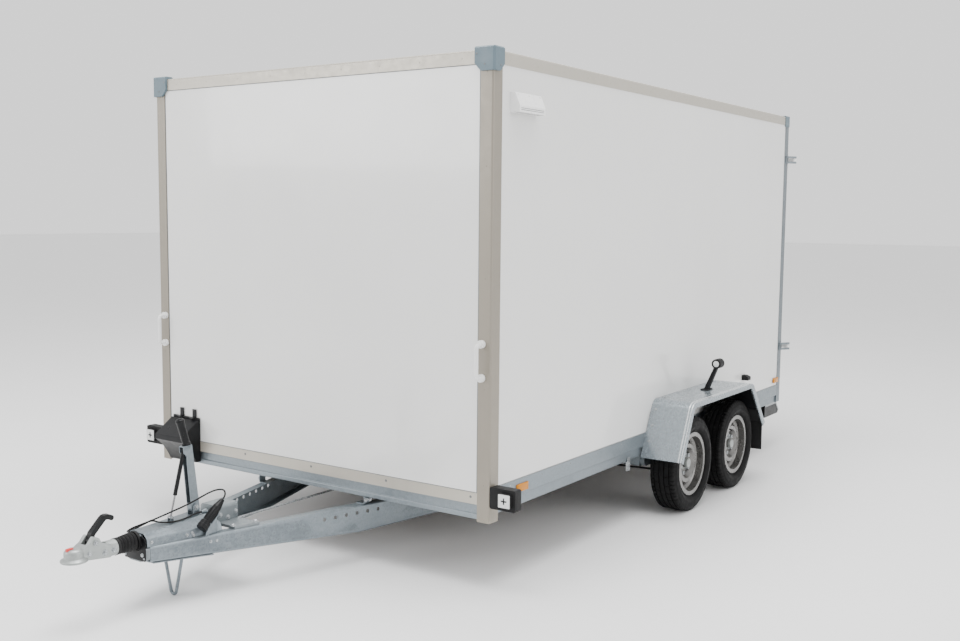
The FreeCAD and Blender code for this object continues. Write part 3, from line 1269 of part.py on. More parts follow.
def hinge_lugs(sign, height):
    """Frame side of one hinge: a plate on the post, two arms with their eyes, and the pin."""
    axis_x, axis_y = HINGE_AXIS_SIDE, back(HINGE_AXIS_BACK)
    corner = back(BODY_LENGTH)
    half, quarter = HINGE_BLOCK / 2, HINGE_BLOCK / 4
    radius = HINGE_EYE_RADIUS
    shapes = [block(HALF_WIDTH, HALF_WIDTH + HINGE_LEAF, corner - HINGE_PLATE_LENGTH, corner, height - half,
                    height + half, BEND / 2, "yz"),
              Part.makeCylinder(HINGE_PIN_RADIUS, HINGE_BLOCK, vec(axis_x, axis_y, height - half))]
    arm = [(HALF_WIDTH, corner - radius), (HALF_WIDTH + HINGE_LEAF, corner - 2 * radius),
           (axis_x + radius * ROUND_SHARE, axis_y - radius / 2), (axis_x, axis_y + radius / 2),
           (axis_x - radius / 2, axis_y), (HALF_WIDTH, corner)]
    for low in (height - half, height + quarter):
        shapes.append(Part.makeCylinder(radius, quarter, vec(axis_x, axis_y, low)))
        shapes.append(prism(arm, 0, "xy", low, low + quarter))
    lug = joined(shapes)
    return lug if sign > 0 else mirrored(lug)


def keepers(sign):
    """Open forks on the sill and the head that the lock bar's ends stand in."""
    x = DOOR_MEETING_GAP / 2 + LOCK_BAR_FROM_EDGE
    y = back(LOCK_BAR_AXIS_BACK)
    inner = LOCK_BAR_RADIUS + KEEPER_CLEARANCE
    outer = inner + KEEPER_WALL
    base = back(BODY_LENGTH)
    result = []
    for low in (LOCK_BAR_LOW, LOCK_BAR_HIGH - KEEPER_HEIGHT):
        fork = block(x - outer, x + outer, base, y + LOCK_BAR_RADIUS / 2, low, low + KEEPER_HEIGHT)
        slot = block(x - inner, x + inner, y - inner, y + 2 * LOCK_BAR_RADIUS, low - CUT_OVERRUN,
                     low + KEEPER_HEIGHT + CUT_OVERRUN)
        fork = fork.cut(slot)
        result.append(fork if sign > 0 else mirrored(fork))
    return result


def door():
    """Left door leaf: a panel in a proud edge frame, with the hinge straps and their eyes."""
    y_low = back(BODY_LENGTH + DOOR_SEAL_GAP)
    y_high = y_low + DOOR_THICKNESS
    x_low, x_high = DOOR_MEETING_GAP / 2, HALF_WIDTH - DOOR_SIDE_MARGIN
    z_low, z_high = DOOR_LOW, DOOR_HIGH
    face = y_high + DOOR_FRAME_PROUD
    leaf = block(x_low, x_high, y_low, face, z_low, z_high)
    edge = DOOR_FRAME_WIDTH
    recess = block(x_low + edge, x_high - edge, y_high, face + CUT_OVERRUN, z_low + edge, z_high - edge)
    parts = [leaf.cut(recess)]
    axis_x, axis_y = HINGE_AXIS_SIDE, back(HINGE_AXIS_BACK)
    quarter = HINGE_BLOCK / 4 - HINGE_EYE_GAP
    for height in HINGE_HEIGHTS:
        low, high = height - quarter, height + quarter
        strap = block(x_high - HINGE_STRAP_LENGTH, axis_x - HINGE_EYE_RADIUS / 2, face, face + HINGE_LEAF,
                      low, high)
        eye = Part.makeCylinder(HINGE_EYE_RADIUS, high - low, vec(axis_x, axis_y, low))
        neck = block(axis_x - HINGE_EYE_RADIUS, axis_x, face, axis_y, low, high)
        hole = Part.makeCylinder(HINGE_PIN_RADIUS + RUNNING_CLEARANCE, high - low + 2 * CUT_OVERRUN,
                                 vec(axis_x, axis_y, low - CUT_OVERRUN))
        parts.append(joined([strap, eye, neck]).cut(hole))
    return joined(parts)


def lock_bar():
    """Upright bar on the left door with its clamps and its handle."""
    x = DOOR_MEETING_GAP / 2 + LOCK_BAR_FROM_EDGE
    y = back(LOCK_BAR_AXIS_BACK)
    face = back(DOOR_FACE) + SEAT_GAP
    bar = Part.makeCylinder(LOCK_BAR_RADIUS, LOCK_BAR_HIGH - LOCK_BAR_LOW, vec(x, y, LOCK_BAR_LOW))
    parts = [bar]
    for height in LOCK_CLAMP_HEIGHTS:
        half = LOCK_CLAMP_HEIGHT / 2
        wide = LOCK_BAR_RADIUS + LOCK_CLAMP_WALL
        parts.append(block(x - wide, x + wide, face, y, height - half, height + half))
    low, high = LOCK_HANDLE_HEIGHT, LOCK_HANDLE_HEIGHT + LOCK_HANDLE_DROP
    start, end = x - LOCK_BAR_RADIUS, x + LOCK_HANDLE_LENGTH
    handle = [(start, low), (start, high), (end, high), (end, low)]
    rear = y + LOCK_BAR_RADIUS + LOCK_HANDLE_THICKNESS
    parts.append(prism(handle, BEND, "xz", y + LOCK_BAR_RADIUS / 2, rear))
    return joined(parts)


def front_lamp():
    """Rubber block beside the post with the position lamp's lens facing forward."""
    x_low, x_high = HALF_WIDTH, HALF_WIDTH + FRONT_LAMP_REACH
    low, high = FRONT_LAMP_LOW, FRONT_LAMP_HIGH
    base = block(x_low, x_high, FRONT, FRONT + FRONT_LAMP_DEPTH, low, high, FRONT_LAMP_ROUND)
    inset = FRONT_LAMP_LENS_INSET
    side = high - low - 2 * inset
    lens = block(x_high - inset - side, x_high - inset, FRONT - FRONT_LAMP_LENS, FRONT, low + inset,
                 high - inset, FRONT_LAMP_ROUND)
    return joined([base, lens])


def tail_lamp():
    """Lamp housing under the rear corner, with a raked rear face."""
    rear = back(BODY_LENGTH + TAIL_LAMP_REACH)
    front = rear - TAIL_LAMP_LENGTH
    top = SIDE_RAIL_BOTTOM - SEAT_GAP
    step = TAIL_LAMP_STEP
    points = [(front, top), (front, TAIL_LAMP_LOW), (rear - step / 3, TAIL_LAMP_LOW),
              (rear, TAIL_LAMP_LOW + step / 3), (rear - step, top)]
    x_high = HALF_WIDTH - TAIL_LAMP_SIDE_INSET
    return prism(points, BEND, "yz", x_high - TAIL_LAMP_WIDTH, x_high)


def flat_outline(x, y, width, length, height):
    """Level rectangle with rounded corners round a middle point."""
    wide, long = width / 2, length / 2
    points = [(x - wide, y - long), (x + wide, y - long), (x + wide, y + long), (x - wide, y + long)]
    return outline(points, BEND, "xy", height)


def stalk_lamp():
    """Rubber stalk on the left fender with a round two-way marker lamp."""
    low = FENDER_TOP + SEAT_GAP
    x, y = STALK_BASE_SIDE, back(STALK_BACK)
    wide, long = STALK_BASE_WIDTH / 2, STALK_BASE_LENGTH / 2
    base = block(x - wide, x + wide, y - long, y + long, low, low + STALK_BASE_THICKNESS, wide / 2, "xy")
    foot = flat_outline(x, y, STALK_THICKNESS, STALK_FOOT_WIDTH, low)
    top = flat_outline(STALK_HEAD_SIDE - STALK_THICKNESS / 4, y, STALK_THICKNESS, STALK_TOP_WIDTH,
                       STALK_HEAD_HEIGHT - STALK_HEAD_RADIUS / 2)
    half, radius = STALK_HEAD_LENGTH / 2, STALK_HEAD_RADIUS
    points = [(0, -half), (radius - BEND, -half), (radius, BEND - half), (radius, half - BEND),
              (radius - BEND, half), (0, half)]
    head = spin(points, 0, vec(STALK_HEAD_SIDE, y, STALK_HEAD_HEIGHT), (0, 1, 0), (1, 0, 0))
    return joined([base, Part.makeLoft([foot, top], True, True), head])


def grab_handle():
    """Bow handle on the left front post."""
    x = HALF_WIDTH - HANDLE_SIDE_INSET
    y = FRONT - SEAT_GAP
    bar_y = FRONT - HANDLE_REACH + HANDLE_BAR_RADIUS
    low, high = HANDLE_LOW + HANDLE_FOOT_RADIUS, HANDLE_HIGH - HANDLE_FOOT_RADIUS
    path = [(y, low), (bar_y, low), (bar_y, high), (y, high)]
    spine = outline(path, HANDLE_FOOT_RADIUS, "yz", x, closed=False)
    circle = Part.Wire(Part.makeCircle(HANDLE_BAR_RADIUS, vec(x, y, low), vec(0, -1, 0)))
    bow = spine.makePipeShell([circle], True, False)
    feet = [rod(HANDLE_FOOT_RADIUS, vec(x, y - HANDLE_FOOT_LENGTH, z), vec(x, y, z)) for z in (low, high)]
    return joined([bow] + feet)


def vent_hood():
    """Sloped hood over the left wall's vent, open at its underside."""
    x = PANEL_OUTER
    reach = x + VENT_REACH
    knee = VENT_LOW + (VENT_HIGH - VENT_LOW) / 3
    outer = [(x, VENT_LOW), (reach, VENT_LOW), (reach, knee), (x + VENT_REACH / 2, VENT_HIGH), (x, VENT_HIGH)]
    start, end = back(VENT_START), back(VENT_START + VENT_LENGTH)
    hood = prism(outer, [0, 0, BEND, BEND, 0], "xz", start, end)
    wall = VENT_WALL
    inner = [(x + wall, VENT_LOW - CUT_OVERRUN), (reach - wall, VENT_LOW - CUT_OVERRUN), (reach - wall, knee),
             (x + VENT_REACH / 2 - wall, VENT_HIGH - wall), (x + wall, VENT_HIGH - wall)]
    return hood.cut(prism(inner, 0, "xz", start + wall, end - wall))


def door_retainer():
    """Rubber catch on the left wall that holds the opened door."""
    x = PANEL_OUTER
    y = back(RETAINER_BACK)
    half = RETAINER_LENGTH / 2
    low, high = RETAINER_LOW, RETAINER_LOW + RETAINER_HEIGHT
    reach = x + RETAINER_REACH
    points = [(x, low), (reach, low), (reach, high - RETAINER_HEIGHT / 3), (x + RETAINER_REACH / 2, high),
              (x, high)]
    return prism(points, [0, BEND, BEND, BEND, 0], "xz", y - half, y + half)


def wheel_centre(place):
    return vec(0, back(place), TYRE_RADIUS)


def tyre(place):
    """Tyre of the left side: a hollow ring with rounded shoulders and beads in the rim's flanges."""
    half = TYRE_WIDTH / 2
    tread = TREAD_WIDTH / 2
    bead = RIM_WIDTH / 2 - RIM_SHEET - SEAT_GAP
    bead_low = RIM_RADIUS + SEAT_GAP
    over = RIM_FLANGE_RADIUS + 2 * RIM_SHEET
    middle = (TYRE_RADIUS + RIM_RADIUS) / 2
    shoulder = TYRE_RADIUS - TYRE_SHOULDER / 2
    shoulder_x = half - TYRE_SHOULDER / 3
    wall = TYRE_WALL
    under = TYRE_RADIUS - wall
    outer = [(bead_low, bead), (over, bead), (middle, half), (shoulder, shoulder_x), (TYRE_RADIUS, tread),
             (TYRE_RADIUS, -tread), (shoulder, -shoulder_x), (middle, -half), (over, -bead),
             (bead_low, -bead)]
    inner = [(bead_low, wall - bead), (over, wall - bead), (middle, wall - half), (under, wall - tread),
             (under, tread - wall), (middle, half - wall), (over, bead - wall), (bead_low, bead - wall)]
    soft = TYRE_SHOULDER / 3
    radii = [0, 0, TYRE_SHOULDER, 0, 0, 0, 0, TYRE_SHOULDER, 0, 0, 0, 0, 0, soft, soft, 0, 0, 0]
    centre = wheel_centre(place).add(vec(WHEEL_CENTRE_SIDE, 0, 0))
    return spin(outer + inner, radii, centre, (1, 0, 0), (0, 0, 1))


def wheel(place):
    """Left wheel: rim with a well, dished disc, hub with nuts and cap, and the brake drum behind it."""
    half = RIM_WIDTH / 2
    t = RIM_SHEET
    flange, seat, well = RIM_FLANGE_RADIUS, RIM_RADIUS, RIM_WELL_RADIUS
    well_x = half - DISC_OUTER_SET
    rim = [(flange, half), (flange, half - t), (seat, half - t), (seat, well_x + t), (well, well_x - 2 * t),
           (well, -half / 2), (seat, -half / 2 - 2 * t), (seat, t - half), (flange, t - half),
           (flange, -half), (seat - t, -half), (seat - t, -half / 2 - 3 * t), (well - t, -half / 2 - t),
           (well - t, well_x - 3 * t), (seat - t, well_x), (seat - t, half)]
    centre = wheel_centre(place).add(vec(WHEEL_CENTRE_SIDE, 0, 0))
    hub_x = half - HUB_FACE_SET
    ridge_x = half - DISC_RIDGE_SET
    edge_x = well_x - 3 * t
    ridge, face = DISC_RIDGE_RADIUS, HUB_FACE_RADIUS
    disc = [(well - t / 2, edge_x), (ridge + 3 * t, ridge_x), (ridge - 2 * t, ridge_x), (face, hub_x),
            (0, hub_x), (0, hub_x - t), (face + t, hub_x - t), (ridge - t, ridge_x - t),
            (ridge + 2 * t, ridge_x - t), (well - t, edge_x - 2 * t), (well - t / 2, edge_x - 2 * t)]
    cap_high = hub_x + HUB_CAP_LENGTH
    cap = [(0, hub_x - t), (HUB_RADIUS, hub_x - t), (HUB_RADIUS, hub_x + t),
           (HUB_CAP_RADIUS + t, hub_x + 2 * t), (HUB_CAP_RADIUS, cap_high), (0, cap_high)]
    drum_x = hub_x - t
    open_x = drum_x - DRUM_DEPTH
    bore = STUB_RADIUS + RUNNING_CLEARANCE
    drum = [(0, drum_x), (DRUM_RADIUS, drum_x), (DRUM_RADIUS, open_x), (DRUM_RADIUS - 2 * t, open_x),
            (DRUM_RADIUS - 2 * t, drum_x - 2 * t), (HUB_RADIUS, drum_x - 2 * t), (HUB_RADIUS, open_x + 2 * t),
            (bore, open_x + 2 * t), (bore, drum_x - 2 * t), (0, drum_x - 2 * t)]
    parts = [spin(points, 0, centre, (1, 0, 0), (0, 0, 1)) for points in (rim, disc, cap, drum)]
    shape = joined(parts)
    holes = [rod(VENT_HOLE_RADIUS, vec(centre.x + drum_x + t, y, z), vec(centre.x + half, y, z))
             for y, z in ring_places(centre, VENT_HOLE_CIRCLE, VENT_HOLE_COUNT, 0)]
    nut_x = centre.x + hub_x - t / 2
    nuts = [rod(LUG_RADIUS, vec(nut_x, y, z), vec(nut_x + LUG_LENGTH, y, z))
            for y, z in ring_places(centre, LUG_CIRCLE, LUG_COUNT, 1 / 2)]
    return joined([shape.cut(Part.makeCompound(holes))] + nuts)


def ring_places(centre, radius, count, shift):
    """Places (y, z) on a circle round a wheel's axis, turned by a share of their spacing."""
    angles = [2 * math.pi * (i + shift) / count for i in range(count)]
    return [(centre.y + radius * math.cos(angle), centre.z + radius * math.sin(angle)) for angle in angles]


def axle(place):
    """Rubber-sprung axle: a square tube, plates under the side rails and a swing arm at each end."""
    middle = back(place - ARM_LENGTH)
    half = AXLE_TUBE / 2
    reach = ARM_SIDE - ARM_THICKNESS / 2 - SEAT_GAP
    low = AXLE_TUBE_TOP - AXLE_TUBE
    tube = block(-reach, reach, middle - half, middle + half, low, AXLE_TUBE_TOP, AXLE_TUBE_ROUND, "yz")
    wall = AXLE_TUBE_WALL
    hollow = block(-reach - CUT_OVERRUN, reach + CUT_OVERRUN, middle - half + wall, middle + half - wall,
                   low + wall, AXLE_TUBE_TOP - wall, AXLE_TUBE_ROUND - wall, "yz")
    long = AXLE_BRACKET_LENGTH / 2
    side_low, side_high = side_rail_inner() - AXLE_BRACKET_INSET, HALF_WIDTH - SIDE_RAIL_STEP - SHEET
    plate = block(side_low, side_high, middle - long, middle + long, AXLE_TUBE_TOP + SEAT_GAP,
                  SIDE_RAIL_BOTTOM, BEND, "xy")
    arm = swing_arm(place)
    return Part.makeCompound([tube.cut(hollow), plate, mirrored(plate), arm, mirrored(arm)])


def swing_arm(place):
    """Left swing arm with its stub axle and brake back plate."""
    pivot_y, pivot_z = back(place - ARM_LENGTH), AXLE_TUBE_TOP - AXLE_TUBE / 2
    wheel_y, wheel_z = back(place), TYRE_RADIUS
    x_low, x_high = ARM_SIDE - ARM_THICKNESS / 2, ARM_SIDE + ARM_THICKNESS / 2
    span = math.hypot(wheel_y - pivot_y, wheel_z - pivot_z)
    across_y, across_z = (wheel_z - pivot_z) / span, (pivot_y - wheel_y) / span
    big, small = ARM_PIVOT_BOSS * ARM_WAIST_SHARE, ARM_SMALL_RADIUS * ARM_WAIST_SHARE
    web = prism([(pivot_y + across_y * big, pivot_z + across_z * big),
                 (wheel_y + across_y * small, wheel_z + across_z * small),
                 (wheel_y - across_y * small, wheel_z - across_z * small),
                 (pivot_y - across_y * big, pivot_z - across_z * big)], 0, "yz", x_low, x_high)
    plate_x = HUB_FACE_SIDE - RIM_SHEET - DRUM_DEPTH - BACK_PLATE_GAP
    stub_x = HUB_FACE_SIDE - RIM_SHEET - STUB_END_GAP
    parts = [web, rod(ARM_PIVOT_BOSS, vec(x_low, pivot_y, pivot_z), vec(x_high, pivot_y, pivot_z))]
    for radius, start, end in ((ARM_SMALL_RADIUS, x_low, x_high), (small, x_low, plate_x),
                               (BACK_PLATE_RADIUS, plate_x - BACK_PLATE_THICKNESS, plate_x),
                               (STUB_RADIUS, x_low, stub_x)):
        parts.append(rod(radius, vec(start, wheel_y, wheel_z), vec(end, wheel_y, wheel_z)))
    return joined(parts)


def fender_path():
    """Outline of the fender's outer skin, from the front foot to the rear foot."""
    return [(back(FENDER_FRONT_LOW), FENDER_LOW), (back(FENDER_FRONT_HIGH), FENDER_TOP),
            (back(FENDER_REAR_HIGH), FENDER_TOP), (back(FENDER_REAR_LOW), FENDER_REAR_LOW_HEIGHT)]


def inset_path(path, distance):
    """Path moved towards the wheels by a distance."""
    return sheet_outline(path, 2 * distance, FENDER_CORNER)[0][len(path):][::-1]


def fender():
    """Pressed two-axle fender of the left side, with a turned-down outer edge and a rolled bead."""
    path = inset_path(fender_path(), FENDER_SHEET / 2)
    inner_side = HALF_WIDTH + SEAT_GAP
    skin = sheet(path, FENDER_SHEET, FENDER_CORNER - FENDER_SHEET / 2, "yz", inner_side, FENDER_SIDE)
    edge_path = inset_path(fender_path(), FENDER_EDGE_DROP / 2)
    edge = sheet(edge_path, FENDER_EDGE_DROP, FENDER_CORNER - FENDER_EDGE_DROP / 2, "yz",
                 FENDER_SIDE - FENDER_SHEET, FENDER_SIDE)
    bead_path = inset_path(fender_path(), FENDER_EDGE_DROP)
    spine = outline(bead_path, FENDER_CORNER - FENDER_EDGE_DROP, "yz", FENDER_SIDE - FENDER_BEAD_RADIUS,
                    closed=False)
    start = spine.Vertexes[0].Point
    heading = vec(0, bead_path[1][0] - bead_path[0][0], bead_path[1][1] - bead_path[0][1])
    circle = Part.Wire(Part.makeCircle(FENDER_BEAD_RADIUS, start, heading))
    bead = spine.makePipeShell([circle], True, False)
    return joined([skin, edge, bead])


def mud_flap():
    """Rubber flap behind the left rear wheel, hung on the fender's rear foot."""
    x_low = HALF_WIDTH + FLAP_SIDE_GAP
    slope = (FENDER_REAR_LOW - FENDER_REAR_HIGH) / (FENDER_TOP - FENDER_REAR_LOW_HEIGHT)
    length = math.hypot(slope, 1)
    skin_inset = (FENDER_SHEET + SEAT_GAP) * length
    top_y = back(FENDER_REAR_LOW) - slope * (FLAP_TOP - FENDER_REAR_LOW_HEIGHT) - skin_inset
    low_y = back(FENDER_REAR_LOW) - skin_inset
    thickness = FLAP_THICKNESS * length
    points = [(top_y, FLAP_TOP), (low_y, FENDER_REAR_LOW_HEIGHT), (low_y, FLAP_BOTTOM),
              (low_y - FLAP_THICKNESS, FLAP_BOTTOM), (low_y - thickness, FENDER_REAR_LOW_HEIGHT),
              (top_y - thickness, FLAP_TOP)]
    return prism(points, 0, "yz", x_low, x_low + FLAP_WIDTH)


def both_sides(shape):
    """A left piece and its mirror image, as solids that don't touch."""
    return Part.makeCompound([shape, mirrored(shape)])


def build():
    """Every node's shape by its name; left is +X."""
    pairs = {"side_rail": side_rail(), "drawbar_beam": drawbar_beam(), "front_post": front_post(),
             "side_panel": side_panel(), "fender": fender(), "door": door(), "lock_bar": lock_bar()}
    nodes = {}
    for name, shape in pairs.items():
        nodes[name + "_left"] = shape
        nodes[name + "_right"] = mirrored(shape)
    nodes["cross_members"] = Part.makeCompound([cross_member(place) for place in CROSS_MEMBER_PLACES])
    for name, place in zip(("front", "rear"), WHEEL_PLACES):
        nodes["axle_" + name] = axle(place)
        for piece, shape in (("tyre", tyre(place)), ("wheel", wheel(place))):
            nodes["%s_%s_left" % (piece, name)] = shape
            nodes["%s_%s_right" % (piece, name)] = mirrored(shape)
    side_start, side_end = back(POST_DEPTH + LIP) + SEAT_GAP, back(BODY_LENGTH - PORTAL_DEPTH)
    nodes["top_rail_left"] = top_rail("xz", HALF_WIDTH, -1, side_start, side_end)
    nodes["top_rail_right"] = mirrored(nodes["top_rail_left"])
    front_reach = HALF_WIDTH - POST_WIDTH
    nodes["top_rail_front"] = top_rail("yz", FRONT, 1, -front_reach, front_reach)
    nodes["front_channel"] = front_channel()
    nodes["rear_member"] = rear_member()
    nodes["parking_stirrup"] = parking_stirrup()
    nodes["overrun_cover"] = overrun_cover()
    nodes["shaft_guides"] = Part.makeCompound([front_bracket(), rear_bracket()])
    nodes["coupling_shaft"] = coupling_shaft()
    nodes["bellows"] = bellows()
    nodes["coupling_head"] = coupling_head()
    nodes["coupling_handle"] = coupling_handle()
    nodes["brake_lever"] = brake_lever()
    nodes["lever_grip"] = lever_grip()
    nodes["strut_barrel"] = strut_barrel()
    nodes["strut_rod"] = strut_rod()
    nodes["plug"] = plug()
    nodes["plug_holder"] = plug_holder()
    nodes["cable"] = cable()
    nodes["wheel_chock"] = wheel_chock()
    nodes["chock_holder"] = chock_holder()
    nodes["bottom_rail_front"] = bottom_rail_front()
    nodes["front_panel"] = front_panel()
    nodes["roof_panel"] = roof_panel()
    nodes["floor_panel"] = floor_panel()
    nodes["rear_portal"] = rear_portal()
    caps = [corner_cap(), rear_cap()]
    nodes["corner_caps"] = Part.makeCompound(caps + [mirrored(cap) for cap in caps])
    nodes["front_lamps"] = both_sides(front_lamp())
    nodes["tail_lamps"] = both_sides(tail_lamp())
    nodes["stalk_lamps"] = both_sides(stalk_lamp())
    nodes["grab_handles"] = both_sides(grab_handle())
    nodes["vent_hoods"] = both_sides(vent_hood())
    nodes["door_retainers"] = both_sides(door_retainer())
    nodes["mud_flaps"] = both_sides(mud_flap())
    return nodes


def main():
    os.makedirs("parts", exist_ok=True)
    for name, shape in build().items():
        if not shape.isValid():
            print("not valid:", name)
        shape.exportStep("parts/%s.step" % name)


main()
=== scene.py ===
import bmesh
import bpy
import json
import math
from mathutils import Matrix, Vector
from mathutils.bvhtree import BVHTree


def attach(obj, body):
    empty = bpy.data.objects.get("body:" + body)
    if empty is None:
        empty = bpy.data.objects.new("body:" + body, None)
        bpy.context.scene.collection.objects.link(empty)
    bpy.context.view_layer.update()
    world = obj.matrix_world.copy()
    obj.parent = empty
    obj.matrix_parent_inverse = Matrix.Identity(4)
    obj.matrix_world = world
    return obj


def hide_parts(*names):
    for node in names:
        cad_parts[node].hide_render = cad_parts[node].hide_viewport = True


# White box trailer on two axles: finishes, small parts, tyres, cable, light and camera.
# Places are given in millimetres as in the source of the solids: x to the trailer's left,
# y behind the front wall's outer face, z up. at() turns them into the frame in metres.

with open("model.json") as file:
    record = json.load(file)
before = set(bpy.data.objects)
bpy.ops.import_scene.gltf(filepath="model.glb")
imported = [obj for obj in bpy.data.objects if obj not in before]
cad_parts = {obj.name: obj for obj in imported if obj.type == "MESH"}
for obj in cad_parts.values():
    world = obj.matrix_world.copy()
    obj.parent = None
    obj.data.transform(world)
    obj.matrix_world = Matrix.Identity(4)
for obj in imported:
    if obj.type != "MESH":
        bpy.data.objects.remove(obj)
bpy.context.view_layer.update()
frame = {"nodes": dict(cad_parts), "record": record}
nodes = frame["nodes"]
FRONT = -1.1585  # the front wall's outer face in the frame, in metres
WHEELS = {"front": 1700.0, "rear": 2320.0}  # the axles, by their place
SIDES = {"left": 1, "right": -1}
WHEEL_SIDE = 1147.5  # middle of a tyre from the centre line
WHEEL_HEIGHT = 256.0


def at(x, y, z):
    """Point in the frame from a place in millimetres."""
    return Vector((x / 1000, FRONT + y / 1000, z / 1000))


# Materials

# Sockets of the mix node for colours, by number because their names repeat
MIX_A, MIX_B, MIX_RESULT = 6, 7, 2


class Finish:
    """One procedural material: a principled shader with helpers that add variation in object space."""

    def __init__(self, name, color, rough, metal=0.0, coat=0.0, **sockets):
        self.mat = bpy.data.materials.new(name)
        self.mat.use_nodes = True
        self.tree = self.mat.node_tree
        self.shader = self.tree.nodes["Principled BSDF"]
        self.color = color
        self.set("Base Color", (*color, 1.0))
        self.set("Roughness", rough)
        self.set("Metallic", metal)
        self.set("Coat Weight", coat)
        for key, value in sockets.items():
            self.set(key.replace("_", " "), value)
        self.coords = self.tree.nodes.new("ShaderNodeTexCoord").outputs["Object"]
        self.color_out = None
        self.normal = None

    def set(self, socket, value):
        self.shader.inputs[socket].default_value = value

    def node(self, kind, **values):
        made = self.tree.nodes.new(kind)
        for key, value in values.items():
            if key in made.inputs:
                made.inputs[key].default_value = value
            else:
                setattr(made, key, value)
        return made

    def link(self, a, b):
        self.tree.links.new(a, b)

    def stretch(self, sx, sy, sz):
        """Object coordinates scaled along each axis."""
        mapping = self.node("ShaderNodeMapping")
        mapping.inputs["Scale"].default_value = (sx, sy, sz)
        self.link(self.coords, mapping.inputs["Vector"])
        return mapping.outputs["Vector"]

    def noise(self, scale, detail=4.0, rough=0.55, stretch=None):
        made = self.node("ShaderNodeTexNoise", Scale=scale, Detail=detail, Roughness=rough)
        self.link(self.stretch(*stretch) if stretch else self.coords, made.inputs["Vector"])
        return made.outputs["Fac"]

    def cells(self, scale):
        """One grey per cell of an irregular pattern."""
        made = self.node("ShaderNodeTexVoronoi", Scale=scale, Randomness=1.0, feature="F1")
        self.link(self.coords, made.inputs["Vector"])
        split = self.node("ShaderNodeSeparateColor")
        self.link(made.outputs["Color"], split.inputs["Color"])
        return split.outputs["Red"]

    def studs(self, scale):
        """Distance from the middles of a regular grid of cells."""
        made = self.node("ShaderNodeTexVoronoi", Scale=scale, Randomness=0.0, feature="F1")
        self.link(self.coords, made.inputs["Vector"])
        return made.outputs["Distance"]

    def spread(self, fac, low, high, start=0.3, end=0.7):
        """The part of a pattern between start and end, spread from low to high."""
        made = self.node("ShaderNodeMapRange", clamp=True)
        made.inputs["From Min"].default_value = start
        made.inputs["From Max"].default_value = end
        made.inputs["To Min"].default_value = low
        made.inputs["To Max"].default_value = high
        self.link(fac, made.inputs["Value"])
        return made.outputs["Result"]

    def tint(self, fac, color, amount=1.0, start=0.35, end=0.7):
        """Blend another colour in where the pattern is high."""
        mix = self.node("ShaderNodeMix", data_type="RGBA")
        self.link(self.spread(fac, 0.0, amount, start, end), mix.inputs["Factor"])
        if self.color_out:
            self.link(self.color_out, mix.inputs[MIX_A])
        else:
            mix.inputs[MIX_A].default_value = (*self.color, 1.0)
        mix.inputs[MIX_B].default_value = (*color, 1.0)
        self.color_out = mix.outputs[MIX_RESULT]
        self.link(self.color_out, self.shader.inputs["Base Color"])

    def gloss(self, fac, low, high, start=0.3, end=0.7):
        """Let the roughness follow the pattern."""
        self.link(self.spread(fac, low, high, start, end), self.shader.inputs["Roughness"])

    def bump(self, fac, strength, distance):
        """Add fine relief to what is there already."""
        made = self.node("ShaderNodeBump", Strength=strength, Distance=distance)
        self.link(fac, made.inputs["Height"])
        if self.normal:
            self.link(self.normal, made.inputs["Normal"])
        self.normal = made.outputs["Normal"]
        self.link(self.normal, self.shader.inputs["Normal"])

    def worn(self, color, amount=0.7, low=0.52, high=0.60):
        """Lighter or darker metal along the edges."""
        geometry = self.node("ShaderNodeNewGeometry")
        self.tint(geometry.outputs["Pointiness"], color, amount, low, high)


def galvanised(name, color, light, dark, rough, scale=75.0):
    f = Finish(name, color, rough, metal=0.62)
    f.tint(f.cells(scale), light, 0.75, 0.2, 0.9)
    f.tint(f.cells(scale * 2.3), dark, 0.45, 0.55, 1.0)
    f.tint(f.noise(5.0, 6.0, 0.6, (1.0, 1.0, 2.5)), dark, 0.55, 0.50, 0.78)
    f.gloss(f.cells(scale), rough - 0.09, rough + 0.13, 0.1, 0.9)
    f.bump(f.cells(scale), 0.12, 0.0004)
    f.bump(f.noise(260.0, 3.0), 0.05, 0.0003)
    f.worn(tuple(c * 1.5 for c in light), 0.35)
    return f.mat


def laminate(name, color, shade):
    f = Finish(name, color, 0.16, coat=0.35, Coat_Roughness=0.06)
    f.tint(f.noise(1.1, 3.0, 0.5), shade, 0.55, 0.40, 0.75)
    f.tint(f.noise(0.9, 8.0, 0.7, (6.0, 6.0, 0.6)), shade, 0.35, 0.55, 0.85)
    f.gloss(f.noise(7.0, 6.0, 0.65), 0.12, 0.26)
    f.bump(f.noise(2.2, 2.0, 0.4), 0.10, 0.006)
    f.bump(f.noise(420.0, 2.0), 0.03, 0.0002)
    return f.mat


def profile(name, color, shade):
    f = Finish(name, color, 0.38, metal=0.35)
    f.tint(f.noise(30.0, 6.0, 0.7, (1.0, 1.0, 0.05)), shade, 0.35, 0.4, 0.8)
    f.tint(f.noise(3.0, 8.0, 0.7), shade, 0.30, 0.55, 0.8)
    f.gloss(f.noise(40.0, 5.0, 0.6), 0.30, 0.46)
    f.bump(f.noise(300.0, 2.0, 0.5, (1.0, 1.0, 0.04)), 0.05, 0.0003)
    f.worn(tuple(min(1.0, c * 1.3) for c in color), 0.4)
    return f.mat


def moulded(name, color, rough=0.45, grain=900.0, strength=0.18, dust=(0.30, 0.29, 0.27), dusty=0.25,
            sheen=0.5):
    f = Finish(name, color, rough, Specular_IOR_Level=sheen)
    f.tint(f.noise(9.0, 8.0, 0.7), dust, dusty, 0.50, 0.85)
    f.gloss(f.noise(22.0, 5.0, 0.6), rough - 0.08, rough + 0.10)
    f.bump(f.noise(grain, 3.0, 0.6), strength, 0.0004)
    f.worn(tuple(min(1.0, c * 1.4 + 0.004) for c in color), 0.4)
    return f.mat


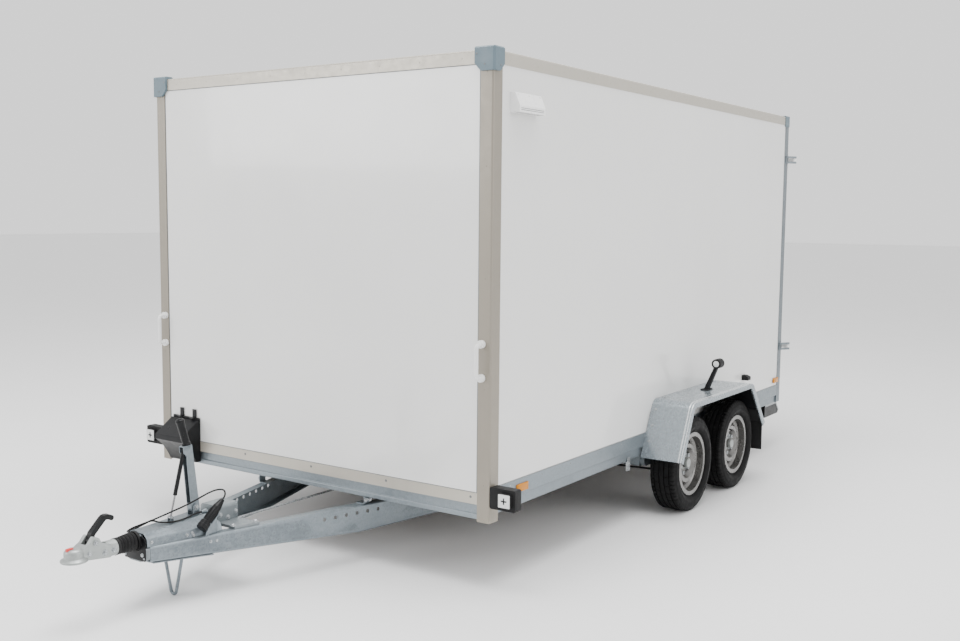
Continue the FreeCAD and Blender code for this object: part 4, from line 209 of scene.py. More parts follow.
def painted(name, color, rough=0.35, metal=0.0, shade=(0.2, 0.18, 0.15)):
    f = Finish(name, color, rough, metal=metal, coat=0.2)
    f.tint(f.noise(14.0, 8.0, 0.7), shade, 0.30, 0.55, 0.85)
    f.gloss(f.noise(30.0, 4.0), rough - 0.06, rough + 0.10)
    f.bump(f.noise(500.0, 3.0), 0.06, 0.0003)
    f.worn(tuple(min(1.0, c * 1.25) for c in color), 0.5)
    return f.mat


def cast(name, color, dark, rough=0.5, metal=0.55):
    f = Finish(name, color, rough, metal=metal)
    f.tint(f.noise(18.0, 8.0, 0.7), dark, 0.55, 0.48, 0.78)
    f.gloss(f.noise(60.0, 5.0), rough - 0.10, rough + 0.12)
    f.bump(f.noise(700.0, 4.0, 0.7), 0.25, 0.0006)
    f.worn(tuple(min(1.0, c * 1.5) for c in color), 0.5)
    return f.mat


def lens(name, color, ribs):
    f = Finish(name, color, 0.14, coat=0.08, Coat_Roughness=0.04, Specular_IOR_Level=0.2)
    f.bump(f.studs(ribs), 0.55, 0.0008)
    f.tint(f.studs(ribs), tuple(c * 0.45 for c in color), 0.45, 0.25, 0.7)
    f.gloss(f.noise(50.0, 3.0), 0.06, 0.16)
    return f.mat


def tyre_rubber():
    f = Finish("tyre_rubber", (0.0045, 0.0045, 0.0047), 0.68, Specular_IOR_Level=0.14)
    f.tint(f.noise(11.0, 9.0, 0.75), (0.014, 0.013, 0.012), 0.50, 0.50, 0.88)
    f.tint(f.noise(70.0, 6.0, 0.7), (0.009, 0.0088, 0.0082), 0.5, 0.5, 0.8)
    f.gloss(f.noise(35.0, 5.0), 0.52, 0.74)
    f.bump(f.noise(900.0, 4.0), 0.22, 0.0004)
    return f.mat


def plywood():
    f = Finish("floor_board", (0.17, 0.115, 0.075), 0.42, coat=0.25)
    f.tint(f.noise(26.0, 8.0, 0.6, (1.0, 0.06, 1.0)), (0.075, 0.05, 0.035), 0.7, 0.4, 0.7)
    f.tint(f.studs(170.0), (0.09, 0.06, 0.04), 0.5, 0.3, 0.6)
    f.bump(f.studs(170.0), 0.35, 0.0008)
    return f.mat


def brushed(name, color, rough=0.22, metal=1.0):
    f = Finish(name, color, rough, metal=metal)
    f.tint(f.noise(90.0, 4.0, 0.6, (1.0, 0.08, 1.0)), tuple(c * 0.7 for c in color), 0.5, 0.4, 0.8)
    f.gloss(f.noise(50.0, 4.0), rough - 0.06, rough + 0.12)
    f.bump(f.noise(400.0, 2.0, 0.5, (1.0, 0.05, 1.0)), 0.08, 0.0002)
    return f.mat


# Finish by material slot, for the solids and what goes with them
LOOK = {
    "laminate": laminate("wall_laminate", (0.76, 0.76, 0.75), (0.70, 0.70, 0.69)),
    "profile": profile("anodised_profile", (0.40, 0.375, 0.325), (0.33, 0.305, 0.26)),
    "cap_plastic": moulded("corner_plastic", (0.085, 0.125, 0.150), 0.40, 700.0, 0.15,
                           (0.17, 0.205, 0.225), 0.35),
    "galvanised": galvanised("zinc_dipped_steel", (0.155, 0.182, 0.202), (0.215, 0.245, 0.264),
                             (0.095, 0.115, 0.13), 0.38),
    "fender_steel": galvanised("zinc_fender_steel", (0.235, 0.268, 0.29), (0.262, 0.295, 0.318),
                               (0.20, 0.23, 0.25), 0.22, 90.0),
    "floor_ply": plywood(),
    "roof_laminate": laminate("roof_laminate", (0.78, 0.78, 0.77), (0.68, 0.68, 0.66)),
    "tyre": tyre_rubber(),
    "rim_steel": painted("rim_silver", (0.185, 0.181, 0.175), 0.28, 0.8, (0.05, 0.043, 0.037)),
    "cast_coupling": cast("coupling_zinc", (0.33, 0.35, 0.342), (0.15, 0.16, 0.16), 0.40),
    "guide_casting": cast("guide_casting", (0.17, 0.19, 0.20), (0.075, 0.083, 0.09), 0.42),
    "shaft_steel": brushed("shaft_steel", (0.45, 0.45, 0.45), 0.32),
    "black_rubber": moulded("black_rubber", (0.010, 0.010, 0.0105), 0.56, 600.0, 0.2,
                            (0.030, 0.028, 0.026), 0.35, 0.18),
    "black_plastic": moulded("black_plastic", (0.0045, 0.0048, 0.0055), 0.34, 1000.0, 0.15,
                             (0.013, 0.013, 0.0135), 0.25, 0.20),
    "white_plastic": moulded("white_plastic", (0.80, 0.80, 0.79), 0.30, 800.0, 0.08, (0.66, 0.65, 0.62), 0.3),
    "chrome_rod": brushed("chrome_rod", (0.30, 0.30, 0.31), 0.16),
}
# Finish of trim and fastenings
TRIM = {
    "amber": lens("amber_lens", (0.62, 0.225, 0.0), 300.0),
    "red": lens("marker_red_lens", (0.50, 0.015, 0.010), 300.0),
    "white": lens("marker_clear_lens", (0.78, 0.79, 0.78), 260.0),
    "dark": moulded("lamp_core", (0.012, 0.012, 0.013), 0.7),
    "seal": moulded("door_seal", (0.012, 0.012, 0.013), 0.62, 500.0, 0.2, (0.03, 0.03, 0.03), 0.3, 0.2),
    "zinc": galvanised("zinc_bolts", (0.30, 0.32, 0.33), (0.42, 0.44, 0.45), (0.15, 0.165, 0.175), 0.30,
                       260.0),
    "white_screw": painted("white_screws", (0.70, 0.69, 0.66), 0.35),
    "red_paint": painted("red_marker_plastic", (0.55, 0.02, 0.015), 0.4),
    "grey_plastic": moulded("grey_plastic", (0.13, 0.14, 0.145), 0.45),
    "post": profile("anodised_post", (0.235, 0.212, 0.175), (0.19, 0.17, 0.138)),
    "bead": brushed("rolled_edge_steel", (0.72, 0.74, 0.75), 0.20, 0.6),
    "plate": painted("blank_plate", (0.74, 0.74, 0.72), 0.3),
}

SLOTS = {row["node"]: row["material_slot"] for row in frame["record"]["subparts"]}
# Solids that look different from the rest of their slot
OWN = {"front_post_left": TRIM["post"], "front_post_right": TRIM["post"],
       "tail_lamps": LOOK["black_plastic"], "chock_holder": LOOK["black_plastic"]}
for name, obj in nodes.items():
    mat = OWN[name] if name in OWN else LOOK[SLOTS[name]]
    if not obj.material_slots:
        obj.data.materials.append(mat)
    for holder in obj.material_slots:
        holder.material = mat


# Places on the solids, found by looking along a line

BEHIND = 3700.0  # a start behind the doors
BEHIND_FLAPS = 3000.0  # and one behind the mud flaps
FORWARDS, BACKWARDS, DOWN = (0, -1, 0), (0, 1, 0), (0, 0, -1)
TREES = {}


def touch(name, origin, direction):
    """Where a line from a point in millimetres meets a solid, with the surface's direction there."""
    if name not in TREES:
        TREES[name] = BVHTree.FromObject(nodes[name], bpy.context.evaluated_depsgraph_get())
    aim = Vector(direction).normalized()
    place, normal, _, _ = TREES[name].ray_cast(at(*origin), aim)
    if place is None:
        return None, None
    return place, (-normal if normal.dot(aim) > 0 else normal)


# Mesh helpers

def linked(name, data):
    """Object with its data, in the scene."""
    obj = bpy.data.objects.new(name, data)
    bpy.context.scene.collection.objects.link(obj)
    return obj


def carried(name, data, body):
    """Object in the scene that rides on a body."""
    obj = linked(name, data)
    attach(obj, body)
    return obj


def finish_piece(name, bm, mat, body="chassis", sharp=32.0):
    """Object from a bmesh, smooth but with sharp corners, riding on a body."""
    bmesh.ops.remove_doubles(bm, verts=bm.verts, dist=1e-6)
    bmesh.ops.recalc_face_normals(bm, faces=bm.faces)
    mesh = bpy.data.meshes.new(name)
    bm.to_mesh(mesh)
    bm.free()
    mesh.materials.append(mat)
    mesh.shade_smooth()
    mesh.set_sharp_from_angle(angle=math.radians(sharp))
    return carried(name, mesh, body)


def frame_of(axis):
    """An axis's direction and two more, square to it and to each other."""
    a = Vector(axis).normalized()
    side = a.cross(Vector((0, 0, 1)))
    if side.length < 0.1:
        side = a.cross(Vector((0, 1, 0)))
    side.normalize()
    return a, side, a.cross(side).normalized()


def lathe(bm, origin, axis, outline, count=24, turn=0.0, closed=False):
    """Turn (radius, distance) points in metres round an axis; radius 0 closes with a fan."""
    a, s, t = frame_of(axis)
    rings = []
    for radius, along in outline:
        if radius <= 1e-7:
            rings.append([bm.verts.new(origin + a * along)])
            continue
        ring = []
        for i in range(count):
            angle = 2 * math.pi * i / count + turn
            out = s * math.cos(angle) + t * math.sin(angle)
            ring.append(bm.verts.new(origin + a * along + out * radius))
        rings.append(ring)
    pairs = list(zip(rings, rings[1:]))
    if closed:
        pairs.append((rings[-1], rings[0]))
    for low, high in pairs:
        for i in range(count):
            j = (i + 1) % count
            if len(low) == 1 and len(high) == 1:
                continue
            if len(low) == 1:
                bm.faces.new((low[0], high[i], high[j]))
            elif len(high) == 1:
                bm.faces.new((low[i], low[j], high[0]))
            else:
                bm.faces.new((low[i], low[j], high[j], high[i]))


def soften(bm, faces, bevel):
    """Round the edges of some faces."""
    if bevel > 0:
        edges = list({e for f in faces for e in f.edges})
        bmesh.ops.bevel(bm, geom=edges, offset=bevel, segments=2, affect="EDGES", profile=0.6)


def brick(bm, low, high, bevel=0.0, matrix=None):
    """Box between two corners in metres with bevelled edges, moved by a matrix where there is one."""
    verts = [bm.verts.new((x, y, z)) for x in (low[0], high[0]) for y in (low[1], high[1])
             for z in (low[2], high[2])]
    made = [bm.faces.new([verts[i] for i in face]) for face in
            ((0, 1, 3, 2), (4, 6, 7, 5), (0, 4, 5, 1), (2, 3, 7, 6), (0, 2, 6, 4), (1, 5, 7, 3))]
    if matrix is not None:
        for v in verts:
            v.co = matrix @ v.co
    soften(bm, made, bevel)


def slab(bm, points, thickness, bevel=0.0):
    """Plate from a flat outline of points in metres, thickened along a vector."""
    front = [bm.verts.new(p) for p in points]
    rear = [bm.verts.new(p + thickness) for p in points]
    faces = [bm.faces.new(front), bm.faces.new(rear[::-1])]
    count = len(points)
    for i in range(count):
        j = (i + 1) % count
        faces.append(bm.faces.new((front[i], rear[i], rear[j], front[j])))
    soften(bm, faces, bevel)


def hex_bolt(bm, place, axis, across=0.0075, height=0.0055, turn=0.2, stub=0.0):
    """Hexagon head with chamfer and washer, and the thread's end; the axis points away from the metal."""
    a = Vector(axis).normalized()
    lathe(bm, place, a, [(0, -0.001), (across * 1.45, -0.001), (across * 1.45, 0.0009),
                         (across * 1.38, 0.0014), (0, 0.0014)], 20)
    lathe(bm, place, a, [(0, 0.001), (across, 0.0012), (across, height), (across * 0.84, height * 1.16),
                         (0, height * 1.16)], 6, turn)
    if stub > 0:
        lathe(bm, place, a, [(0, 0.0), (across * 0.52, 0.0), (across * 0.52, height + stub - 0.0006),
                             (across * 0.42, height + stub), (0, height + stub)], 14)


def dome(bm, place, axis, radius, height):
    """Rivet or screw head."""
    lathe(bm, place, axis, [(0, -0.0006), (radius, -0.0006), (radius, 0.0002), (radius * 0.92, height * 0.45),
                            (radius * 0.62, height * 0.85), (radius * 0.25, height), (0, height)], 16)


def screw(bm, place, axis, radius, height):
    """Pan head with a thin raised cross on it."""
    dome(bm, place, axis, radius, height)
    a, s, t = frame_of(axis)
    low = place + a * (height * 0.97)
    for u, w in ((s * radius * 0.5, t * radius * 0.09), (t * radius * 0.5, s * radius * 0.09)):
        slab(bm, [low - u - w, low + u - w, low + u + w, low - u + w], a * (height * 0.08))


def fasten(make, bm, name, origin, direction, axis, *sizes):
    """Make a bolt, rivet or screw where a line meets a solid; without an axis it points off the surface."""
    place, normal = touch(name, origin, direction)
    if place is not None:
        make(bm, place, axis or normal, *sizes)


def pipe(name, points, radius, mat, body="chassis", order=3):
    """Bent bar or hose along a smooth line."""
    curve = bpy.data.curves.new(name, "CURVE")
    curve.dimensions = "3D"
    curve.bevel_depth = radius
    curve.bevel_resolution = 5
    curve.resolution_u = 10
    curve.use_fill_caps = True
    spline = curve.splines.new("NURBS")
    spline.points.add(len(points) - 1)
    for target, point in zip(spline.points, points):
        target.co = (*point, 1.0)
    spline.order_u = order
    spline.use_endpoint_u = True
    curve.materials.append(mat)
    return carried(name, curve, body)


# Cable: the route of the solid, in millimetres, from the cover to the plug

CABLE = ((30.0, -672.0, 329.8), (30.0, -700.0, 329.8), (34.0, -743.0, 324.0),
         (34.0, -790.0, 320.5), (22.0, -832.0, 320.0), (-10.0, -857.0, 320.5),
         (-49.0, -864.0, 325.0), (-82.0, -876.0, 306.0), (-102.0, -902.0, 290.0),
         (-103.0, -936.0, 286.0), (-83.0, -962.0, 294.0), (-52.0, -967.0, 313.0),
         (-26.0, -944.0, 327.0), (-10.0, -892.0, 338.0), (15.0, -849.0, 355.0),
         (52.0, -806.0, 378.0), (84.0, -764.0, 400.0), (107.0, -722.0, 424.0),
         (118.0, -692.0, 435.0), (122.0, -662.0, 438.0), (124.5, -633.6, 432.5),
         (125.0, -623.7, 418.7), (125.0, -625.91, 401.85), (125.0, -639.0, 391.0))
CABLE_RADIUS = 0.0035
cable = pipe("cable_line", [at(*p) for p in CABLE], CABLE_RADIUS, LOOK["black_rubber"])
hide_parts("cable")


# Tyres: half outlines as (radius, distance from the middle) in metres, from bead to crown

SIDEWALL = [(0.1528, 0.0572), (0.1700, 0.0574), (0.1775, 0.0578), (0.1812, 0.0605), (0.1825, 0.0650),
            (0.1850, 0.0662), (0.1868, 0.0690), (0.1960, 0.0752), (0.2042, 0.0778), (0.2062, 0.0785),
            (0.2082, 0.0778), (0.2200, 0.0768), (0.2300, 0.0742), (0.2312, 0.0750), (0.2330, 0.0732),
            (0.2430, 0.0694)]
SHOULDER = [(0.2498, 0.0660), (0.2545, 0.0622), (0.2560, 0.0580)]
RIBS = [(0.2560, 0.0455), (0.2495, 0.0445), (0.2495, 0.0395), (0.2560, 0.0385),
        (0.2560, 0.0170), (0.2495, 0.0160), (0.2495, 0.0105), (0.2560, 0.0095)]
# How each point takes part in the tread: not at all, cut into blocks, notched, or only set at a slant
PLAIN, BLOCK, NOTCH, SLANT = range(4)
PARTS = ([PLAIN] * len(SIDEWALL) + [BLOCK] * len(SHOULDER)
         + [BLOCK, PLAIN, PLAIN, NOTCH, NOTCH, PLAIN, PLAIN, SLANT])
BLOCKS = 64
# Where in a block's length the rings lie, and whether they lie in the groove behind it
PHASES = ((0.0, False), (0.80, False), (0.84, True), (0.96, True))
BLOCK_DEPTH = 0.0045
NOTCH_DEPTH = 0.003
SLANT_SHARE = 0.35  # of a block's length, to either side


def tyre_piece(end, side):
    """Tyre with tread blocks and sidewall rings in place of the plain solid."""
    centre = at(SIDES[side] * WHEEL_SIDE, WHEELS[end], WHEEL_HEIGHT)
    half = SIDEWALL + SHOULDER + RIBS
    outline = half + [(r, -x) for r, x in reversed(half)]
    parts = PARTS + PARTS[::-1]
    bm = bmesh.new()
    rings = []
    for b in range(BLOCKS):
        for phase, groove in PHASES:
            angle = 2 * math.pi * (b + phase) / BLOCKS
            ring = []
            for (r, x), part in zip(outline, parts):
                if part == BLOCK and groove:
                    r -= BLOCK_DEPTH
                elif part == NOTCH and groove and b % 2 == 0:
                    r -= NOTCH_DEPTH
                slant = SLANT_SHARE * 2 * math.pi / BLOCKS if part in (NOTCH, SLANT) else 0.0
                turn = angle + (slant if x > 0 else -slant)
                ring.append(bm.verts.new(centre + Vector((x, r * math.cos(turn), r * math.sin(turn)))))
            rings.append(ring)
    for a, b in zip(rings, rings[1:] + rings[:1]):
        for k in range(len(outline) - 1):
            bm.faces.new((a[k], a[k + 1], b[k + 1], b[k]))
    name = "tread_tyre_%s_%s" % (end, side)
    obj = finish_piece(name, bm, LOOK["tyre"], "wheel_set_%s_%s" % (end, side), 28.0)
    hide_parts("tyre_%s_%s" % (end, side))


# Wheel trim: places in millimetres from the wheel's middle, outlines as (radius, distance) in metres
DISC_FACE = 6.0
NUT_CIRCLE = 56.0
NUTS = 5
VALVE_SIDE = 30.0
VALVE_CIRCLE = 118.0
VALVE_ANGLE = 2.1
VALVE_AIM = (0.9, 0.42)  # outwards and towards the hub
NUT_WASHER = [(0, -0.001), (0.0135, -0.001), (0.0135, 0.002), (0.0112, 0.005), (0, 0.005)]
NUT = [(0, 0.004), (0.0112, 0.004), (0.0112, 0.0165), (0.0094, 0.0185), (0.0060, 0.0185),
       (0.0056, 0.0150), (0, 0.0150)]
HUB_CAP = [(0.0372, -0.001), (0.0378, 0.003), (0.0378, 0.006), (0.030, 0.0095), (0.0262, 0.0112),
           (0.0262, 0.030), (0.0252, 0.0345), (0.0215, 0.0378), (0.012, 0.0388), (0, 0.0390)]
VALVE = [(0, -0.004), (0.0075, -0.004), (0.0062, 0.004), (0.0042, 0.010), (0.0040, 0.024),
         (0.0046, 0.0245), (0.0046, 0.033), (0.0036, 0.0345), (0, 0.0345)]


def wheel_trim(end, side):
    """Hexagon nuts, hub cap and valve of one wheel."""
    sign = SIDES[side]
    body = "wheel_set_%s_%s" % (end, side)
    out = Vector((sign, 0, 0))

    def on_wheel(outwards, radius, angle):
        return at(sign * (WHEEL_SIDE + outwards), WHEELS[end] + radius * math.cos(angle),
                  WHEEL_HEIGHT + radius * math.sin(angle))

    bm = bmesh.new()
    for i in range(NUTS):
        place = on_wheel(DISC_FACE, NUT_CIRCLE, 2 * math.pi * (i + 0.5) / NUTS)
        lathe(bm, place, out, NUT_WASHER, 20)
        lathe(bm, place, out, NUT, 6, 0.3 * i)
    finish_piece("wheel_nuts_%s_%s" % (end, side), bm, TRIM["zinc"], body)
    bm = bmesh.new()
    lathe(bm, on_wheel(DISC_FACE, 0.0, 0.0), out, HUB_CAP, 40)
    finish_piece("hub_cap_%s_%s" % (end, side), bm, LOOK["cast_coupling"], body)
    bm = bmesh.new()
    inwards = Vector((0, -math.cos(VALVE_ANGLE), -math.sin(VALVE_ANGLE)))
    lathe(bm, on_wheel(VALVE_SIDE, VALVE_CIRCLE, VALVE_ANGLE),
          (out * VALVE_AIM[0] + inwards * VALVE_AIM[1]).normalized(), VALVE, 14)
    finish_piece("valve_%s_%s" % (end, side), bm, LOOK["black_rubber"], body)


for end in WHEELS:
    for side in SIDES:
        tyre_piece(end, side)
        wheel_trim(end, side)


# Drawbar: bolts and pins

BEAM_SPREAD = 0.276  # how far a beam runs outwards per length
BOLT_STUB = 0.0025


def beam_outer(y):
    """The beam's outer face from the centre line."""
    return 334.0 + BEAM_SPREAD * y


def bolts(name, rows):
    """One piece with the hexagon bolts of all rows, each at its own turn."""
    bm = bmesh.new()
    for x, y, z, axis, size, height in rows:
        hex_bolt(bm, at(x, y, z), axis, size / 1000, height / 1000, 0.37 * x + 0.11 * y, BOLT_STUB)
    finish_piece(name, bm, TRIM["zinc"])


rows = []
for s in (1, -1):
    rows.append((s * 48, -985, 228, FORWARDS, 8.5, 6.5))
    rows.append((s * 56.5, -985, 214, FORWARDS, 5.0, 4.0))
    for y, z in ((-590, 300), (-546, 282), (-502, 300)):
        rows.append((s * 54.2, y, z, (s, 0, 0), 8.0, 6.0))
    for y in (-596, -496):
        rows.append((s * (beam_outer(y) - 30), y, 271.2, (0, 0, 1), 8.5, 6.5))
    side = Vector((1, -BEAM_SPREAD, 0)).normalized()
    out = Vector((s * side.x, side.y, 0))
    for y, z in ((-716, 232), (-690, 231)):
        rows.append((s * (beam_outer(y) + 0.1), y, z, out, 4.8, 3.0))
    for y in (22, 44, 642, 1422):
        rows.append((s * (beam_outer(y) + 2.0), y, 281, out, 7.0, 5.0))
bolts("drawbar_bolts", rows)


def cover_side(y, share):
    """Place and outward direction on the cover's left skirt between knee and foot."""
    t = (y + 975) / 335  # 0 at the cover's front end, 1 at its rear end
    knee = Vector((58 + 52 * t, y, 290.0))
    foot = Vector((60 + 62 * t, y, 260.5))
    normal = Vector((29.5, 0, foot.x - knee.x)).normalized()
    return knee.lerp(foot, share), normal


rows = []
for y, share in ((-955, 0.5), (-800, 0.62), (-776, 0.50), (-772, 0.86)):
    p, n = cover_side(y, share)
    for s in (1, -1):
        rows.append((s * (p.x + n.x * 1.7), y, p.z + n.z * 1.7, (s * n.x, 0, n.z), 5.0, 3.8))
bolts("cover_bolts", rows)


def pin_end(bm, place, axis, radius, edge, height):
    """Washer with the end of a pin in it, chamfered from its edge to its height."""
    lathe(bm, place, axis, [(0, -0.001), (0.0105, -0.001), (0.0105, 0.0012), (radius, 0.0016), (radius, edge),
                            (radius - 0.0012, height), (0, height)], 24)


PIVOT_Y, PIVOT_Z = -688.0, 352.0  # the handbrake lever's pivot
bm = bmesh.new()
for s in (1, -1):
    pin_end(bm, at(s * 20.0, PIVOT_Y, PIVOT_Z), (s, 0, 0), 0.0068, 0.0050, 0.0062)
    lathe(bm, at(s * 10.6, -808, 331), (s, 0, 0),
          [(0, -0.001), (0.0056, -0.001), (0.0056, 0.0022), (0.0048, 0.003), (0, 0.003)], 20)
finish_piece("lever_pin_ends", bm, TRIM["zinc"])

bm = bmesh.new()
for s in (1, -1):
    pin_end(bm, at(s * 34.5, -1190, 326), (s, 0, 0), 0.0070, 0.0044, 0.0054)
    hex_bolt(bm, at(s * 32.1, -1218, 290), (s, 0, 0), 0.0072, 0.0050, 0.4)
    hex_bolt(bm, at(s * 32.0, -1148, 278), (s, 0, 0), 0.0088, 0.0062, 0.1, 0.003)
    hex_bolt(bm, at(s * 32.0, -1108, 278), (s, 0, 0), 0.0088, 0.0062, 0.8, 0.003)
finish_piece("coupling_bolts", bm, TRIM["zinc"])

bm = bmesh.new()
brick(bm, at(-7, -1296, 300), at(7, -1268, 322), 0.003)
finish_piece("coupling_indicator", bm, TRIM["red_paint"])

bm = bmesh.new()
tip, bend, neck = Vector((0, -1092, 396)), Vector((0, -1127, 412)), Vector((0, -1188, 354))
for a, b, first, last, count in ((neck, bend, 0.42, 0.93, 7), (bend, tip, 0.30, 0.82, 3)):
    along = (b - a).normalized()
    up = Vector((0, -along.z, along.y))
    lie = Matrix.Rotation(math.atan2(along.z, along.y), 4, "X")
    for i in range(count):
        middle = a.lerp(b, first + (last - first) * i / (count - 1)) + up * 9.6
        brick(bm, (-0.0105, -0.0014, -0.0012), (0.0105, 0.0014, 0.0012), 0.0008,
              Matrix.Translation(at(*middle)) @ lie)
finish_piece("handle_ribs", bm, LOOK["black_plastic"])

# Hand grip: flared rim and ribs, on the leaned axis of the lever
TILT, LEAN = math.radians(6.5), math.radians(17.0)
LEVER_LENGTH = 270
lever_top = Vector((0, PIVOT_Y - LEVER_LENGTH * math.sin(TILT), PIVOT_Z + LEVER_LENGTH * math.cos(TILT)))
grip_axis = Vector((0, -math.sin(LEAN), math.cos(LEAN)))
bm = bmesh.new()
for i in range(9):
    along = 22 + 7.2 * i
    lathe(bm, at(*(lever_top + grip_axis * along)), grip_axis,
          [(0.0150, -0.0016), (0.0164, -0.0009), (0.0164, 0.0009), (0.0150, 0.0016)], 40)
finish_piece("grip_ribs", bm, LOOK["black_plastic"], "brake_arm")
bm = bmesh.new()
lathe(bm, at(*(lever_top + grip_axis * 108)), grip_axis,
      [(0.0182, -0.003), (0.0192, -0.001), (0.0192, 0.002), (0.0182, 0.0035)], 44)
lathe(bm, at(*(lever_top + grip_axis * 118)), grip_axis,
      [(0.0, -0.0005), (0.0085, -0.0004), (0.0085, 0.0016), (0.0070, 0.0028), (0, 0.0030)], 28)
finish_piece("grip_rim", bm, LOOK["black_plastic"], "brake_arm")

# Plug: grip ribs, rings at the cable's end and the rim of the holder
foot, top = Vector((125, -756, 294)), Vector((125, -639, 391))
axis = (top - foot).normalized()
length = (top - foot).length
GRIP_RIBS = 12
bm = bmesh.new()
a, s, t = frame_of(axis)
for i in range(GRIP_RIBS):
    angle = 2 * math.pi * i / GRIP_RIBS
    out = s * math.cos(angle) + t * math.sin(angle)
    across = a.cross(out) * 0.0014
    mid = at(*foot) + out * 0.0190 + a * (length * 0.46 / 1000)
    slab(bm, [mid - across - a * 0.026, mid + across - a * 0.026,
              mid + across + a * 0.028, mid - across + a * 0.028], out * 0.0013, 0.0004)
for i in range(4):
    lathe(bm, at(*(foot + axis * (length * 0.74 + 7 * i))), axis,
          [(0.0165 - 0.0016 * i, -0.0012), (0.0178 - 0.0018 * i, 0), (0.0165 - 0.0016 * i, 0.0012)], 32)
lathe(bm, at(*(foot + axis * 14)), axis,
      [(0.0226, -0.005), (0.0240, -0.004), (0.0240, 0.004), (0.0226, 0.005)], 36)
finish_piece("plug_ribs", bm, LOOK["black_plastic"])

# Box: screws and rivets on the rails and posts, sealant, reflectors

FRONT_FACE = 0.2  # just inside the profiles' front face
RAIL_SIDE = 1036.8  # just inside the rails' outer face
bm = bmesh.new()
for x in (-866, -420, 22, 478, 940):
    screw(bm, at(x, FRONT_FACE, 395), FORWARDS, 0.0060, 0.0020)
finish_piece("rail_screws", bm, TRIM["grey_plastic"])
bm = bmesh.new()
for s in (1, -1):
    for z in (452, 860, 1320, 1780, 2160):
        screw(bm, at(s * 1005, FRONT_FACE, z), FORWARDS, 0.0036, 0.0014)
finish_piece("post_screws", bm, TRIM["post"])

bm = bmesh.new()
for s in (1, -1):
    for y in range(160, 3500, 260):
        dome(bm, at(s * RAIL_SIDE, y, 424.0), (s, 0, 0), 0.0042, 0.0014)
finish_piece("side_rail_rivets", bm, TRIM["zinc"])
bm = bmesh.new()
for s in (1, -1):
    for y in range(120, 3560, 220):
        dome(bm, at(s * RAIL_SIDE, y, 2214.0), (s, 0, 0), 0.0038, 0.0013)
for x in range(-880, 890, 220):
    dome(bm, at(x, 0.3, 2218.0), FORWARDS, 0.0038, 0.0013)
finish_piece("rail_rivets", bm, LOOK["profile"])

# Sealant where panels meet the profiles
bm = bmesh.new()
for s in (1, -1):
    brick(bm, at(s * 970 - 2.2, 2.2, 416), at(s * 970 + 2.2, 3.6, 2190), 0.0005)
    brick(bm, at(s * 1034.4 - 0.9, 52, 441.5), at(s * 1034.4 + 0.9, 3500, 443.5), 0.0003)
brick(bm, at(-970, 2.2, 414.5), at(970, 3.6, 417.2), 0.0005)
brick(bm, at(-970, 2.2, 2188.5), at(970, 3.6, 2191.5), 0.0005)
finish_piece("panel_sealant", bm, TRIM["grey_plastic"])

# Orange side reflectors, each a thin frame with a raised prismatic field
REFLECTOR_FACES = (1037.0, 1043.5)  # the inner and the outer one, from the centre line
REFLECTOR_HALF = (46, 17)  # half its length and height
FIELD_INSET = 4
FIELD_RISE = 1.8
for side, s in SIDES.items():
    for k, (y, z) in enumerate(((252, 401), (3466, 478))):
        for kind, inset, rise, bevel in (("frame", 0, 0, 0.0016), ("lens", FIELD_INSET, FIELD_RISE, 0.0014)):
            inner, outer = (s * (face + rise) for face in REFLECTOR_FACES)
            half_y, half_z = (half - inset for half in REFLECTOR_HALF)
            bm = bmesh.new()
            brick(bm, at(inner, y - half_y, z - half_z), at(outer, y + half_y, z + half_z), bevel)
            finish_piece("side_reflector_%s_%d_%s" % (side, k, kind), bm, TRIM["amber"])

# Front position lamps, by the middle of a lens, and the marker lamps on stalks

FRONT_LAMP_SIDE, FRONT_LAMP_HEIGHT = 1119, 406
STALK_LAMP = (1206, 2028, 764)
STALK_LENS = [(0.0172, 0.0265), (0.0172, 0.0288), (0.0150, 0.0306), (0.0090, 0.0318), (0, 0.0322)]
STALK_RIM = [(0.0170, 0.0275), (0.0264, 0.0262), (0.0268, 0.0288), (0.0246, 0.0312), (0.0205, 0.0316),
             (0.0176, 0.0300)]
bm_lens, bm_cross, bm_white, bm_red, bm_rim = (bmesh.new() for _ in range(5))
for s in (1, -1):
    x, z = s * FRONT_LAMP_SIDE, FRONT_LAMP_HEIGHT
    brick(bm_lens, at(x - 28, -17.5, z - 28), at(x + 28, -14, z + 28), 0.003)
    for u, v in ((14, 3.2), (3.2, 14)):
        brick(bm_cross, at(x - u, -18.6, z - v), at(x + u, -17.2, z + v), 0.0005)
    x, y, z = STALK_LAMP
    for look, part in ((FORWARDS, bm_white), (BACKWARDS, bm_red)):
        lathe(part, at(s * x, y, z), look, STALK_LENS, 32)
        lathe(bm_rim, at(s * x, y, z), look, STALK_RIM, 32, closed=True)
finish_piece("front_lamp_lenses", bm_lens, TRIM["white"])
finish_piece("front_lamp_cores", bm_cross, TRIM["dark"])
finish_piece("stalk_lenses_front", bm_white, TRIM["white"])
finish_piece("stalk_lenses_rear", bm_red, TRIM["red"])
finish_piece("stalk_rims", bm_rim, LOOK["black_rubber"])

# Tail lamps: lens fields on the raked rear face, with their two ends and colour

